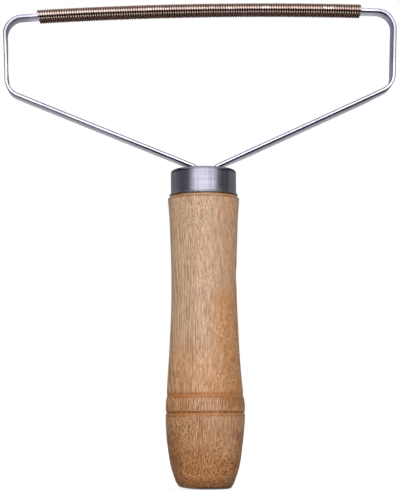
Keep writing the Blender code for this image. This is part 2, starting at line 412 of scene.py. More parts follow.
@dataclass(frozen=True)
class OiledWood:
    """A turned, thinly oiled hardwood: straight grain on the left, mottled on the right, dark in its cuts.

    The grains are how fast the figure changes along each axis, per millimetre.
    """

    olive: Colour = (0.695, 0.437, 0.246)
    pink: Colour = (0.730, 0.455, 0.300)
    honey: Colour = (0.690, 0.325, 0.115)
    pale: Colour = (0.920, 0.660, 0.450)
    ochre: Colour = (0.880, 0.570, 0.300)
    dark: Colour = (0.270, 0.120, 0.050)
    umber: Colour = (0.165, 0.062, 0.021)
    warmth: Colour = (1.000, 0.890, 0.760)
    tan: Colour = (0.905, 0.890, 0.850)
    ripeness: Colour = (0.960, 0.905, 0.880)
    heat: Colour = (0.980, 0.840, 0.700)
    limb_shade_tint: Colour = (0.870, 0.760, 0.690)
    pore: Colour = (0.130, 0.052, 0.022)
    belly: Colour = (0.530, 0.240, 0.090)
    heel: Colour = (0.455, 0.155, 0.032)
    russet_and_limb_shade: Colour = (0.260, 0.085, 0.026)
    burnt: Colour = (0.480, 0.168, 0.033)
    scorched: Colour = (0.088, 0.033, 0.012)
    ring_width: float = 1.15
    line_width: float = 0.73
    tree_centre: Point = (62.0, -66.0)
    tree_lean: Point = (0.035, 0.060)
    patch_grain: Triple = (0.085, 0.085, 0.045)
    slow_grain: Triple = (0.045, 0.045, 0.018)
    slow_reach: Triple = (7.0, 7.0, 0.0)
    wavy_grain: Triple = (0.50, 0.50, 0.40)
    wavy_reach: Triple = (1.7, 1.7, 0.0)
    stray_grain: Triple = (0.35, 0.35, 0.012)
    depth_grain: Triple = (0.60, 0.60, 0.030)
    uneven_grain: Triple = (3.3, 1.0, 0.014)
    cloud_grain: Triple = (0.13, 0.13, 0.045)
    cloud_reach: float = 26.0
    fibre_grain: Triple = (6.0, 2.8, 0.15)
    stroke_grain: Triple = (5.0, 2.6, 0.45)
    mottle_grain: Triple = (5.6, 3.4, 0.92)
    scuff_grain: Triple = (1.3, 1.3, 0.9)
    blotch_grain: Triple = (0.30, 0.30, 0.30)
    mark_grain: Triple = (0.05, 0.05, 3.4)
    long_pores: Triple = (3.4, 3.0, 0.28)
    short_pores: Triple = (3.8, 3.4, 1.10)
    pore_strength: float = 0.35
    ring_strength: float = 0.15
    collar_foot: float = 27.0
    collar_top: float = 33.0
    roughness: float = 0.40
    mark_depth: float = 0.05 * MM
    fibre_depth: float = 0.16 * MM
    pore_depth: float = 0.14 * MM

    def grain(self, weave: Weave, place: Socket) -> tuple[Socket, Socket]:
        """Bends the grain a little, and more so in patches.

        Args:
            weave: the material's node tree.
            place: the place in millimetres.

        Returns:
            The bent place, and how wild the grain is there.
        """
        patches = weave.step(weave.noise(place, self.patch_grain, 1.0), 0.42, 0.62)
        x, _, z = weave.split(place)
        wild = weave.times(patches, weave.step(x, -7.0, -1.0, 0.05, 0.40))
        wild = weave.times(wild, weave.step(x, 2.0, 6.0, 1.0, 0.50))
        mottled = weave.times(weave.step(x, 2.0, 6.0, 0.0, 0.58), weave.band(z, 50.0, 10.0, 9.0))
        curly = weave.times(weave.step(x, -2.0, -5.0), weave.step(z, self.collar_foot, 24.0, 0.0, 0.62))
        top = weave.times(weave.step(z, 88.0, 96.0, 0.0, 0.55), weave.step(x, 4.0, 0.0))
        low = weave.plus(z, weave.step(x, -3.0, 3.0, 4.0, -3.0))
        heel = weave.times(weave.step(low, 17.0, 9.0, 0.0, 0.95), weave.step(z, 1.0, 5.5, 0.50, 1.0))
        for part in (mottled, curly, top, heel):
            wild = weave.larger(wild, part)
        slow = weave.drift(place, self.slow_grain, self.slow_reach, 1.0)
        wavy = weave.drift(place, self.wavy_grain, self.wavy_reach, wild)
        return weave.shift(weave.shift(place, slow), wavy), wild

    def rings(self, weave: Weave, grain: Socket) -> Socket:
        """The growth rings, as darkness that builds up over each ring and then drops.

        Args:
            weave: the material's node tree.
            grain: the bent place.

        Returns:
            One at a ring's darkest.
        """
        x, y, z = weave.split(grain)
        parts = []
        for value, centre, lean in zip((x, y), self.tree_centre, self.tree_lean):
            leaning = weave.plus(weave.times(z, lean), centre)
            offset = weave.less(value, leaning)
            parts.append(weave.times(offset, offset))
        away = weave.root(weave.plus(parts[0], parts[1]))
        phase = weave.sum(Sum.FRACTION, weave.times(away, 1.0 / self.ring_width))
        rise = weave.step(phase, 0.30, 0.86)
        drop = weave.step(phase, 1.0, 0.92)
        return weave.times(rise, drop)

    def ribbons(self, weave: Weave, grain: Socket) -> Socket:
        """The close, even lines of the straight grain.

        Args:
            weave: the material's node tree.
            grain: the bent place.

        Returns:
            Nought on a dark line and one on a pale one.
        """
        x, _, _ = weave.split(grain)
        stray = weave.times(weave.noise(grain, self.stray_grain, 1.0), 1.6)
        turn = weave.times(weave.plus(weave.times(x, 1.0 / self.line_width), stray), math.tau)
        wave = weave.sum(Sum.SINE, turn)
        depth = weave.step(weave.noise(grain, self.depth_grain, 1.0), 0.35, 0.60, 0.18, 0.50)
        uneven = weave.times(weave.less(weave.noise(grain, self.uneven_grain, 0.0), 0.5), 0.6)
        return weave.plus(weave.plus(weave.times(wave, depth), uneven), 0.5)

    def pores(self, weave: Weave, grain: Socket, per_mm: Triple, radius: float, share: float) -> Socket:
        """The wood's open pores as short dark dashes along the grain.

        Args:
            weave: the material's node tree.
            grain: the bent place.
            per_mm: how many cells there are along each axis.
            radius: a pore's radius, in cells.
            share: the share of the cells that hold one.

        Returns:
            One inside a pore.
        """
        distance, chance = weave.cells(grain, per_mm)
        inside = weave.step(distance, radius, radius * 0.5)
        return weave.times(inside, weave.step(chance, 1.0 - share - 0.05, 1.0 - share + 0.05))

    def ground(self, weave: Weave, place: Socket) -> Socket:
        """The colour under the grain: olive tan on the left, pink in front and honey low on the right, with
        painted shade in russet towards the lower belly's left and right limbs.

        Args:
            weave: the material's node tree.
            place: the place in millimetres.

        Returns:
            The colour.
        """
        x, _, z = weave.split(place)
        centred = weave.less(weave.noise(place, self.cloud_grain, 3.0, 0.6), 0.5)
        clouds = weave.times(centred, self.cloud_reach)
        across = weave.plus(x, clouds)
        colour = weave.mix(weave.step(across, -7.0, -1.0), self.olive, self.pink)
        low_right = weave.band(weave.plus(z, clouds), 49.0, 15.0, 14.0)
        warm = weave.times(weave.step(across, 1.0, 7.0), weave.step(low_right, 0.0, 1.0, 0.35, 1.0))
        colour = weave.mix(warm, colour, self.honey)
        lower = weave.times(weave.step(across, 0.0, -6.0, 0.22, 0.50), weave.step(z, 66.0, 44.0))
        colour = weave.mix(lower, colour, self.honey)
        drop = weave.plus(z, weave.times(clouds, 0.35))
        colour = weave.mix(weave.step(drop, 38.0, 22.0), colour, self.belly)
        colour = weave.mix(weave.step(drop, 22.0, 5.0), colour, self.heel)
        # Painted shade: the lower belly turns russet towards its left and right limbs and fades out by the
        # collar. The collar's right side takes some of the same russet.
        outer = weave.larger(weave.step(across, -6.5, -11.5), weave.step(across, 8.5, 12.0, 0.0, 0.6))
        outer = weave.times(outer, weave.step(z, 33.0, 13.0))
        collar = weave.times(weave.step(x, 3.0, 6.5, 0.0, 0.45), weave.band(z, 29.8, 2.2, 0.8))
        return weave.mix(weave.times(weave.larger(outer, collar), 0.72), colour, self.russet_and_limb_shade)

    def figured(self, weave: Weave, grain: Socket, wild: Socket, fibres: Socket, pale: Socket,
                dark: Socket) -> Socket:
        """Lays the grain's lines, fibres and mottle over the ground.

        Args:
            weave: the material's node tree.
            grain: the bent place.
            wild: how wild the grain is.
            fibres: the finest figure.
            pale: the colour of its pale parts.
            dark: the colour of its dark parts.

        Returns:
            The colour.
        """
        place = weave.place()
        x, _, z = weave.split(place)
        lines = self.ribbons(weave, grain)
        straight = weave.times(weave.less(1.0, wild), weave.step(x, -2.0, -5.5, 0.15, 1.0))
        combed = weave.times(weave.band(z, 30.0, 3.0, 1.0), weave.band(x, -1.0, 5.0, 3.0))
        straight = weave.larger(straight, weave.times(combed, 1.70))
        strength = weave.step(x, 1.0, 7.0, 1.0, 0.60)
        strength = weave.larger(strength, weave.step(z, self.collar_top, 28.0))
        strength = weave.times(strength, weave.step(x, -3.5, -6.5, 1.0, 0.70))
        strokes = weave.noise(grain, self.stroke_grain, 1.0, 0.6)
        mottle = weave.noise(grain, self.mottle_grain, 1.5, 0.6)
        colour = self.ground(weave, place)
        figure = (
            (weave.step(lines, 0.50, 0.85), straight, 0.64, pale),
            (weave.step(lines, 0.50, 0.15), straight, 0.56, dark),
            (weave.step(fibres, 0.50, 0.60), strength, 0.75, pale),
            (weave.step(fibres, 0.50, 0.40), strength, 0.66, dark),
            (weave.step(strokes, 0.47, 0.37), strength, 0.58, dark),
            (weave.step(mottle, 0.50, 0.58), wild, 0.95, pale),
            (weave.step(mottle, 0.49, 0.40), wild, 0.85, dark),
        )
        for shape, where, part, tint in figure:
            colour = weave.mix(weave.times(weave.times(shape, where), part), colour, tint)
        return weave.mix(weave.times(self.rings(weave, grain), self.ring_strength), colour, dark)

    def toned(self, weave: Weave, colour: Socket) -> Socket:
        """Turns the grained colour warmer low on the grip, darker on the belly and redder on the heel, with
        painted light in pale patches low on the right and painted shade towards the lower belly's limbs.

        Args:
            weave: the material's node tree.
            colour: the grained colour.

        Returns:
            The colour.
        """
        x, _, z = weave.split(weave.place())
        above_collar = weave.step(z, self.collar_foot, self.collar_top)
        grip = weave.times(weave.step(x, -1.0, 5.0), weave.step(z, 74.0, 60.0))
        grip = weave.times(weave.larger(grip, weave.step(z, 56.0, 42.0)), above_collar)
        colour = weave.mix(grip, colour, weave.stretch(colour, self.warmth))
        side = weave.times(weave.step(x, 3.0, 8.0), weave.step(z, 58.0, 46.0))
        side = weave.times(side, above_collar)
        colour = weave.mix(side, colour, weave.stretch(colour, self.tan))
        left = weave.times(weave.band(x, -9.0, 1.4, 1.6), weave.step(z, 40.0, 50.0, 0.0, 0.13))
        colour = weave.mix(left, colour, self.pale)
        # Painted light: pale patches low on the belly, right of the front and on the right flank.
        breast = weave.times(weave.step(x, -1.0, 3.0), weave.band(z, 24.5, 2.6, 2.5))
        flank = weave.times(weave.band(x, 8.0, 1.6, 2.4), weave.band(z, 19.0, 6.0, 3.5))
        lit = weave.times(weave.larger(breast, flank), 0.17)
        colour = weave.mix(lit, colour, self.pale)
        belly = weave.band(z, 19.0, 11.0, 6.0)
        colour = weave.mix(belly, colour, weave.stretch(colour, self.ripeness))
        colour = weave.mix(weave.step(z, 17.0, 8.0), colour, weave.stretch(colour, self.heat))
        # Painted shade: the lower belly darkens and reddens towards its left and right limbs, less so on the
        # right.
        edge = weave.times(weave.step(weave.size(x), 7.5, 11.5), weave.step(z, 23.0, 16.0))
        edge = weave.times(edge, weave.step(x, -1.0, 1.0, 1.0, 0.6))
        return weave.mix(edge, colour, weave.stretch(colour, self.limb_shade_tint))

    def burnished(self, weave: Weave, colour: Socket, cuts: Sequence[Cut], shoulder: float) -> Socket:
        """Burnishes and scorches the cuts and the shoulder.

        Args:
            weave: the material's node tree.
            colour: the colour before it.
            cuts: the turned cuts.
            shoulder: the height above which the wood is burnished, in millimetres.

        Returns:
            The colour.
        """
        place = weave.place()
        x, _, z = weave.split(place)
        patchy = weave.step(weave.noise(place, self.scuff_grain, 1.0), 0.38, 0.58, 0.30, 0.90)
        blotches = weave.step(weave.noise(place, self.blotch_grain, 1.0), 0.50, 0.66, 0.10, 0.80)
        burnish = weave.times(weave.step(z, shoulder - 0.10, shoulder + 0.30), blotches)
        for cut in cuts:
            band = weave.times(weave.band(z, cut.height, cut.half, 0.25), cut.burnish)
            burnish = weave.larger(burnish, weave.times(band, patchy))
        upper_cut = weave.times(weave.step(z, 30.0, 31.0), weave.step(z, 36.0, 35.0))
        faint = weave.times(upper_cut, weave.step(x, 6.0, 7.5, 0.0, 0.60))
        colour = weave.mix(weave.times(burnish, weave.less(1.0, faint)), colour, self.burnt)
        for cut in cuts:
            line = weave.times(weave.band(z, cut.height, 0.06, 0.22), patchy)
            colour = weave.mix(weave.times(line, cut.scorch), colour, self.scorched)
        return colour

    def dress(self, cuts: Sequence[Cut], shoulder: float, foot: float) -> bpy.types.Material:
        """Builds the material.

        Args:
            cuts: the turned cuts.
            shoulder: the height above which the wood is burnished, in millimetres.
            foot: the height at the bottom towards which the wood darkens, in millimetres.

        Returns:
            The material.
        """
        weave = Weave(Slot.WOOD.value)
        place = weave.place()
        _, _, z = weave.split(place)
        grain, wild = self.grain(weave, place)
        fibres = weave.noise(grain, self.fibre_grain, 2.0, 0.65)
        marks = weave.noise(place, self.mark_grain, 2.0, 0.6)
        long_pores = self.pores(weave, grain, self.long_pores, 0.34, 0.30)
        short_pores = self.pores(weave, grain, self.short_pores, 0.36, 0.35)
        low = weave.step(z, 40.0, 22.0)
        pale = weave.mix(low, self.pale, self.ochre)
        dark = weave.mix(low, self.dark, self.umber)
        colour = self.toned(weave, self.figured(weave, grain, wild, fibres, pale, dark))
        for pores in (short_pores, long_pores):
            colour = weave.mix(weave.times(pores, self.pore_strength), colour, self.pore)
        colour = self.burnished(weave, colour, cuts, shoulder)
        turned = weave.times(weave.step(marks, 0.50, 0.40), weave.step(z, 6.0, 3.0, 0.0, 0.30))
        colour = weave.mix(turned, colour, dark)
        # The wood darkens towards the bottom of the butt, most sharply in its lowest millimetre.
        colour = weave.mix(weave.times(weave.step(z, foot + 4.5, foot), 0.40), colour, self.scorched)
        colour = weave.mix(weave.times(weave.step(z, foot + 0.6, foot), 0.95), colour, self.scorched)
        weave.feed(weave.shader.inputs["Base Color"], colour)
        gloss = weave.step(fibres, 0.30, 0.70, self.roughness - 0.05, self.roughness + 0.10)
        weave.feed(weave.shader.inputs["Roughness"], weave.plus(gloss, weave.times(long_pores, 0.20)))
        weave.shader.inputs["Specular IOR Level"].default_value = 0.50
        holes = weave.less(1.0, weave.larger(long_pores, short_pores))
        relief = weave.bump(marks, self.mark_depth, 0.22)
        relief = weave.bump(fibres, self.fibre_depth, 0.35, relief)
        relief = weave.bump(holes, self.pore_depth, 0.40, relief)
        weave.feed(weave.shader.inputs["Normal"], relief)
        return weave.material


@dataclass(frozen=True)
class DrawnSteel:
    """The cap's steel, drawn and then brushed round and round."""

    colour: Colour = (0.470, 0.457, 0.556)
    worn: Colour = (0.550, 0.540, 0.635)
    rust: Colour = (0.130, 0.070, 0.055)
    shade: Colour = (0.085, 0.080, 0.110)
    streak: Colour = (0.200, 0.195, 0.250)
    brush_grain: Triple = (0.05, 0.05, 6.5)
    coarse_grain: Triple = (0.07, 0.07, 1.1)
    cloud_grain: Triple = (0.22, 0.22, 0.22)
    flute_grain: Triple = (1.1, 1.1, 0.04)
    roughness: float = 0.40
    brushing: float = 0.66
    coarse_depth: float = 0.012 * MM
    brush_depth: float = 0.008 * MM

    def dress(self, lip: float, rim: float) -> bpy.types.Material:
        """Builds the material.

        Args:
            lip: the height of the cap's lip, in millimetres, where dirt gathers.
            rim: the height of its top, in millimetres, below which a darker band runs round.

        Returns:
            The material.
        """
        weave = Weave(Slot.DRAWN_STEEL.value)
        place = weave.place()
        x, y, z = weave.split(place)
        squares = weave.plus(weave.times(x, x), weave.times(y, y))
        along = weave.less(z, weave.root(squares))
        wrapped = weave.join(x, y, along)
        brushed = weave.noise(wrapped, self.brush_grain, 4.0, 0.68)
        coarse = weave.noise(wrapped, self.coarse_grain)
        clouds = weave.noise(place, self.cloud_grain)
        colour = weave.mix(weave.step(brushed, 0.35, 0.66), self.colour, self.worn)
        flutes = weave.noise(place, self.flute_grain, 2.0, 0.6)
        colour = weave.mix(weave.step(flutes, 0.56, 0.34, 0.0, 0.45), colour, self.streak)
        dirt = weave.times(weave.step(z, lip + 0.15, lip), weave.step(clouds, 0.35, 0.6, 0.6, 1.0))
        colour = weave.mix(weave.times(dirt, 0.60), colour, self.rust)
        # A darker band runs round just below the top rim.
        rim_band = weave.times(weave.step(z, rim - 0.90, rim - 0.45), 0.95)
        colour = weave.mix(rim_band, colour, self.streak)
        # Painted shade: dark arcs on the shoulder below the rim, on the left and right sides only.
        beside = weave.step(weave.size(x), 3.5, 7.5)
        arcs = weave.times(weave.band(z, rim - 1.15, 0.20, 0.25), beside)
        colour = weave.mix(weave.times(arcs, 0.85), colour, self.shade)
        weave.feed(weave.shader.inputs["Base Color"], colour)
        weave.shader.inputs["Metallic"].default_value = 1.0
        rough = weave.step(coarse, 0.30, 0.70, self.roughness - 0.03, self.roughness + 0.05)
        weave.feed(weave.shader.inputs["Roughness"], rough)
        weave.shader.inputs["Anisotropic"].default_value = self.brushing
        weave.shader.inputs["Anisotropic Rotation"].default_value = 0.25
        tangent = weave.node("ShaderNodeTangent")
        tangent.direction_type = "RADIAL"
        tangent.axis = "Z"
        weave.feed(weave.shader.inputs["Tangent"], tangent.outputs[0])
        relief = weave.bump(coarse, self.coarse_depth, 0.10)
        weave.feed(weave.shader.inputs["Normal"], weave.bump(brushed, self.brush_depth, 0.25, relief))
        return weave.material


@dataclass(frozen=True)
class StripSteel:
    """The head's cold-rolled bright strip, with fine lines along its run.

    left_leg, left_end and right_end are from where to where along x, in millimetres, a change sets in.
    """

    colour: Colour = (0.670, 0.660, 0.810)
    dull: Colour = (0.400, 0.390, 0.505)
    plain: Colour = (0.560, 0.555, 0.575)
    # drawn is the colour of painted shade on the strip: the wide faces towards the front and the left upper
    # bend.
    drawn: Colour = (0.050, 0.048, 0.085)
    edge_shade: Colour = (0.016, 0.015, 0.030)
    inner_face_shade: Colour = (0.800, 0.800, 1.080)
    line_grain: Triple = (0.05, 7.0, 1.0)
    cloud_grain: Triple = (0.16, 0.35, 0.16)
    speck_grain: Triple = (2.3, 2.3, 2.3)
    left_leg: Point = (-40.0, -20.0)
    left_end: Point = (-40.0, -60.0)
    right_end: Point = (40.0, 60.0)
    roughness: float = 0.31
    line_depth: float = 0.010 * MM
    cloud_depth: float = 0.030 * MM

    def corners(self, weave: Weave, place: Socket, knee: float, top: float) -> Socket:
        """How much painted shade the rolled corners get: along the legs, the bar's lower corner and the
        short sides.

        Args:
            weave: the material's node tree.
            place: the place in millimetres.
            knee: the height of the lower bends, in millimetres.
            top: the height of the bar, in millimetres.

        Returns:
            One where the steel is darkest.
        """
        x, _, z = weave.split(place)
        _, faces_back, faces_up = weave.facing()
        rim = weave.times(weave.step(faces_back, -0.12, -0.30), weave.step(faces_back, -0.96, -0.86))
        lower = weave.step(faces_up, 0.15, -0.10)
        on_leg, on_bar = weave.step(z, knee + 1.0, knee - 3.0), weave.step(z, top - 6.0, top - 3.0)
        beside = weave.less(weave.less(1.0, on_leg), on_bar)
        under_leg = weave.times(lower, weave.step(x, *self.left_leg, 0.10, 1.0))
        over_leg = weave.step(lower, 1.0, 0.0, 0.0, 0.70)
        legs = weave.times(on_leg, weave.plus(under_leg, over_leg))
        bars = weave.times(on_bar, lower)
        sides = weave.larger(beside, 0.0)
        return weave.times(rim, weave.plus(weave.plus(legs, bars), sides))

    def tinted(self, weave: Weave, place: Socket, clouds: Socket, knee: float, top: float) -> Socket:
        """The steel's colour: clouded, dull at the upper bends, with painted shade on the left upper bend
        and a darker, bluer painted shade inside the right side.

        Args:
            weave: the material's node tree.
            place: the place in millimetres.
            clouds: where the steel is duller.
            knee: the height of the lower bends, in millimetres.
            top: the height of the bar, in millimetres.

        Returns:
            The colour.
        """
        x, _, z = weave.split(place)
        faces_right, faces_back, _ = weave.facing()
        specks = weave.noise(place, self.speck_grain)
        colour = weave.mix(weave.times(weave.step(clouds, 0.45, 0.70), 0.55), self.colour, self.dull)
        colour = weave.mix(weave.times(weave.step(specks, 0.64, 0.76), 0.5), colour, self.dull)
        high = weave.step(z, top - 20.0, top - 14.0)
        bent = weave.times(weave.step(weave.size(x), 61.0, 65.0, 0.0, 0.75), high)
        colour = weave.mix(bent, colour, self.dull)
        # Painted shade: away from the front faces, the left upper bend darkens to the drawn colour.
        shaded = weave.times(weave.step(x, *self.left_end, 0.0, 0.75), weave.step(faces_back, -0.60, -0.20))
        colour = weave.mix(weave.times(bent, shaded), colour, self.drawn)
        # Painted shade: the right short side's inner face turns darker and bluer.
        inwards = weave.times(weave.step(faces_right, -0.60, -0.90), weave.step(x, *self.right_end))
        colour = weave.mix(inwards, colour, weave.stretch(colour, self.inner_face_shade))
        beside = weave.times(weave.step(z, knee + 1.0, knee + 6.0), weave.step(z, top - 6.0, top - 12.0))
        white = weave.larger(weave.step(x, *self.left_end), weave.step(faces_back, -0.50, -0.80, 0.0, 0.7))
        return weave.mix(weave.times(beside, white), colour, self.plain)

    def dress(self, knee: float, top: float) -> bpy.types.Material:
        """Builds the material.

        Args:
            knee: the height of the lower bends, in millimetres.
            top: the height of the bar, in millimetres.

        Returns:
            The material.
        """
        weave = Weave(Slot.STRIP_STEEL.value)
        place = weave.place()
        x, y, _ = weave.split(place)
        _, faces_back, faces_up = weave.facing()
        lines = weave.noise(weave.layer(Layer.RUN), self.line_grain, 3.0, 0.6)
        clouds = weave.noise(place, self.cloud_grain, 3.0, 0.6)
        colour = self.tinted(weave, place, clouds, knee, top)
        level = weave.step(weave.size(faces_up), 0.60, 0.85)
        flat = weave.times(level, weave.step(weave.size(faces_back), 0.50, 0.20))
        # Painted shade: the wide faces darken towards the front edge.
        colour = weave.mix(weave.times(flat, weave.step(y, -4.8, 2.5, 0.75, 0.0)), colour, self.drawn)
        # Painted shade: dark rolled corners, mostly the downward-facing ones, and a dark line along the
        # front of the downward faces from the left leg rightwards.
        near = weave.times(weave.step(x, *self.left_leg), weave.step(y, -2.4, -3.4))
        below = weave.times(weave.times(near, flat), weave.step(faces_up, -0.50, -0.80))
        dark = weave.times(weave.larger(self.corners(weave, place, knee, top), below), 0.96)
        colour = weave.mix(dark, colour, self.edge_shade)
        weave.feed(weave.shader.inputs["Base Color"], colour)
        weave.feed(weave.shader.inputs["Metallic"], weave.less(1.0, dark))
        weave.shader.inputs["Specular IOR Level"].default_value = 0.0
        rough = weave.step(lines, 0.30, 0.70, self.roughness - 0.03, self.roughness + 0.06)
        weave.feed(weave.shader.inputs["Roughness"], rough)
        relief = weave.bump(lines, self.line_depth, 0.30)
        weave.feed(weave.shader.inputs["Normal"], weave.bump(clouds, self.cloud_depth, 0.20, relief))
        return weave.material


@dataclass(frozen=True)
class DarkCopper:
    """Copper wire gone brown and rubbed along the working edges, with painted glints, highlights and shade.
    """

    brown: Colour = (0.700, 0.490, 0.410)
    deep: Colour = (0.400, 0.245, 0.200)
    rubbed: Colour = (0.507, 0.400, 0.370)
    rubbed_lower_highlight: Colour = (0.840, 0.660, 0.590)
    # bright is the colour of the painted glints on the working edges.
    bright: Colour = (1.000, 0.950, 0.920)
    shade_brown: Colour = (0.230, 0.130, 0.105)
    under: Colour = (0.075, 0.038, 0.030)
    grime_and_groove_shade: Colour = (0.045, 0.024, 0.019)
    edge_tint: Colour = (0.240, 0.170, 0.150)
    tarnish_grain: Triple = (0.25, 0.6, 0.6)
    turn_grain: Triple = (0.045, 0.8, 1.0)
    scratch_grain: Triple = (4.0, 1.2, 4.0)
    spark_grain: Triple = (0.30, 0.3, 0.3)
    roughness: float = 0.32
    scratch_depth: float = 0.010 * MM

    def handled(self, weave: Weave, place: Socket, along: Socket, edge: float) -> Socket:
        """The tarnished copper, rubbed on the working edges with painted glints along them, and a painted
        highlight on the rubbed lower corners and the front of the underside.

        Args:
            weave: the material's node tree.
            place: the place in millimetres.
            along: the place along the wire and round it.
            edge: how far from the middle the working edges stand, in millimetres.

        Returns:
            The colour.
        """
        x, y, _ = weave.split(place)
        _, _, faces_up = weave.facing()
        tarnish = weave.noise(place, self.tarnish_grain, 3.0, 0.6)
        turns = weave.noise(along, self.turn_grain, 2.0, 0.6)
        colour = weave.mix(weave.step(tarnish, 0.36, 0.66), self.brown, self.deep)
        out = weave.step(weave.size(y), edge - 0.45, edge - 0.08)
        rub = weave.times(out, weave.step(turns, 0.30, 0.60, 0.50, 1.0))
        # Painted highlight on rubbed copper: the lower corners and the front of the underside turn brighter.
        under_front = weave.times(weave.step(faces_up, -0.90, -0.97), weave.step(y, -2.4, -3.4))
        lower_edge = weave.larger(weave.band(faces_up, -0.84, 0.10, 0.08), weave.times(under_front, 0.60))
        lower_edge = weave.times(lower_edge, weave.step(turns, 0.32, 0.50, 0.6, 1.0))
        colour = weave.mix(rub, colour, self.rubbed)
        colour = weave.mix(lower_edge, colour, self.rubbed_lower_highlight)
        # Painted glints: bright spots along the working edges, more of them towards the left.
        sparks = weave.step(weave.noise(place, self.spark_grain, 1.0), 0.59, 0.67)
        bright = weave.larger(sparks, weave.step(x, 5.0, -40.0, 0.0, 0.32))
        return weave.mix(weave.times(out, bright), colour, self.bright)

    def grimed_and_shaded(self, weave: Weave, place: Socket, along: Socket, colour: Socket) -> Socket:
        """Lays painted shade on the top and just below the highlight, a painted shadow under the bar, and
        dirt and painted shade between the turns.

        Args:
            weave: the material's node tree.
            place: the place in millimetres.
            along: the place along the wire and round it.
            colour: the copper's colour before it.

        Returns:
            The colour.
        """
        _, y, _ = weave.split(place)
        _, around, _ = weave.split(along)
        _, _, faces_up = weave.facing()
        # Painted shade: the upward-facing copper darkens.
        colour = weave.mix(weave.times(weave.step(faces_up, 0.04, 0.28), 0.80), colour, self.shade_brown)
        # Painted shade: a dark band just below the highlight.
        colour = weave.mix(weave.times(weave.band(faces_up, -0.33, 0.08, 0.08), 0.60), colour, self.shade_brown)
        # Painted shadow: the winding's underside darkens, less so at the front.
        below = weave.times(weave.step(faces_up, -0.91, -0.975), weave.step(y, -3.4, -2.4, 0.40, 0.94))
        colour = weave.mix(below, colour, self.under)
        # Dirt between the turns, deepened as painted shade on the lower side and kept thin where the
        # highlight runs.
        off_crest = weave.less(0.5, weave.size(weave.less(around, 0.5)))
        hidden = weave.step(faces_up, -0.35, -0.60, 0.50, 1.0)
        highlight_band = weave.times(weave.band(faces_up, -0.04, 0.13, 0.12), 0.95)
        hidden = weave.times(hidden, weave.less(1.0, highlight_band))
        hidden = weave.times(hidden, weave.step(off_crest, 0.070, 0.135))
        return weave.mix(hidden, colour, self.grime_and_groove_shade)

    def dress(self, edge: float) -> bpy.types.Material:
        """Builds the material.

        Args:
            edge: how far from the middle the working edges stand, in millimetres.

        Returns:
            The material.
        """
        weave = Weave(Slot.COPPER.value)
        place, along = weave.place(), weave.layer(Layer.RUN)
        scratches = weave.noise(place, self.scratch_grain, 2.0, 0.6)
        colour = self.grimed_and_shaded(weave, place, along, self.handled(weave, place, along, edge))
        weave.feed(weave.shader.inputs["Base Color"], colour)
        weave.shader.inputs["Metallic"].default_value = 1.0
        rough = weave.step(scratches, 0.30, 0.70, self.roughness - 0.03, self.roughness + 0.05)
        weave.feed(weave.shader.inputs["Roughness"], rough)
        weave.shader.inputs["Specular Tint"].default_value = (*self.edge_tint, 1.0)
        weave.feed(weave.shader.inputs["Normal"], weave.bump(scratches, self.scratch_depth, 0.25))
        return weave.material


@dataclass(frozen=True)
class CutCopper:
    """The fresh copper at the wire's cut ends."""

    colour: Colour = (0.420, 0.250, 0.190)
    stained: Colour = (0.200, 0.115, 0.085)
    drag_grain: Triple = (1.5, 12.0, 12.0)
    drag_depth: float = 0.010 * MM

    def dress(self) -> bpy.types.Material:
        """Builds the material.

        Returns:
            The material.
        """
        weave = Weave("cut_copper")
        drag = weave.noise(weave.place(), self.drag_grain, 2.0, 0.6)
        colour = weave.mix(drag, self.colour, self.stained)
        weave.feed(weave.shader.inputs["Base Color"], colour)
        weave.shader.inputs["Metallic"].default_value = 1.0
        weave.feed(weave.shader.inputs["Roughness"], weave.step(drag, 0.3, 0.7, 0.30, 0.50))
        weave.feed(weave.shader.inputs["Normal"], weave.bump(drag, self.drag_depth, 0.3))
        return weave.material


@dataclass(frozen=True)
class SetResin:
    """Amber resin, poured round the tangs and set."""

    amber: Colour = (0.420, 0.230, 0.075)
    cloudy: Colour = (0.560, 0.400, 0.220)
    swirl_grain: Triple = (0.5, 0.5, 0.5)
    bubble_cells: Triple = (1.1, 1.1, 1.1)
    swirl_depth: float = 0.08 * MM
    pit_depth: float = 0.05 * MM

    def dress(self) -> bpy.types.Material:
        """Builds the material.

        Returns:
            The material.
        """
        weave = Weave(Slot.RESIN.value)
        place = weave.place()
        swirl = weave.noise(place, self.swirl_grain, 3.0, 0.6)
        bubbles, _ = weave.cells(place, self.bubble_cells)
        colour = weave.mix(weave.step(swirl, 0.40, 0.66), self.amber, self.cloudy)
        weave.feed(weave.shader.inputs["Base Color"], colour)
        weave.feed(weave.shader.inputs["Roughness"], weave.step(swirl, 0.3, 0.7, 0.16, 0.30))
        pits = weave.step(bubbles, 0.10, 0.22)
        relief = weave.bump(swirl, self.swirl_depth, 0.3)
        weave.feed(weave.shader.inputs["Normal"], weave.bump(pits, self.pit_depth, 0.3, relief))
        return weave.material


def shaped(name: str, mesh_builder: bmesh.types.BMesh, finishes: Sequence[bpy.types.Material],
           sharp: float) -> bpy.types.Object:
    """Makes a shown piece from a bmesh.

    Args:
        name: the piece's name.
        mesh_builder: its shape, in the frame.
        finishes: its materials, in the order of its faces' indices.
        sharp: the angle, in radians, above which an edge stays sharp.

    Returns:
        The piece.
    """
    mesh = bpy.data.meshes.new(name)
    bmesh.ops.recalc_face_normals(mesh_builder, faces=mesh_builder.faces)
    mesh_builder.to_mesh(mesh)
    mesh_builder.free()
    mesh.shade_smooth()
    mesh.set_sharp_from_angle(angle=sharp)
    made = bpy.data.objects.new(name, mesh)
    for finish in finishes:
        made.data.materials.append(finish)
    bpy.context.scene.collection.objects.link(made)
    return made


def stand_for(piece: bpy.types.Object, node: Node) -> None:
    """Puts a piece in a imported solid's place.

    Args:
        piece: the shown piece.
        node: the solid that it replaces.
    """
    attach(piece, BODY)
    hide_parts(node.value)


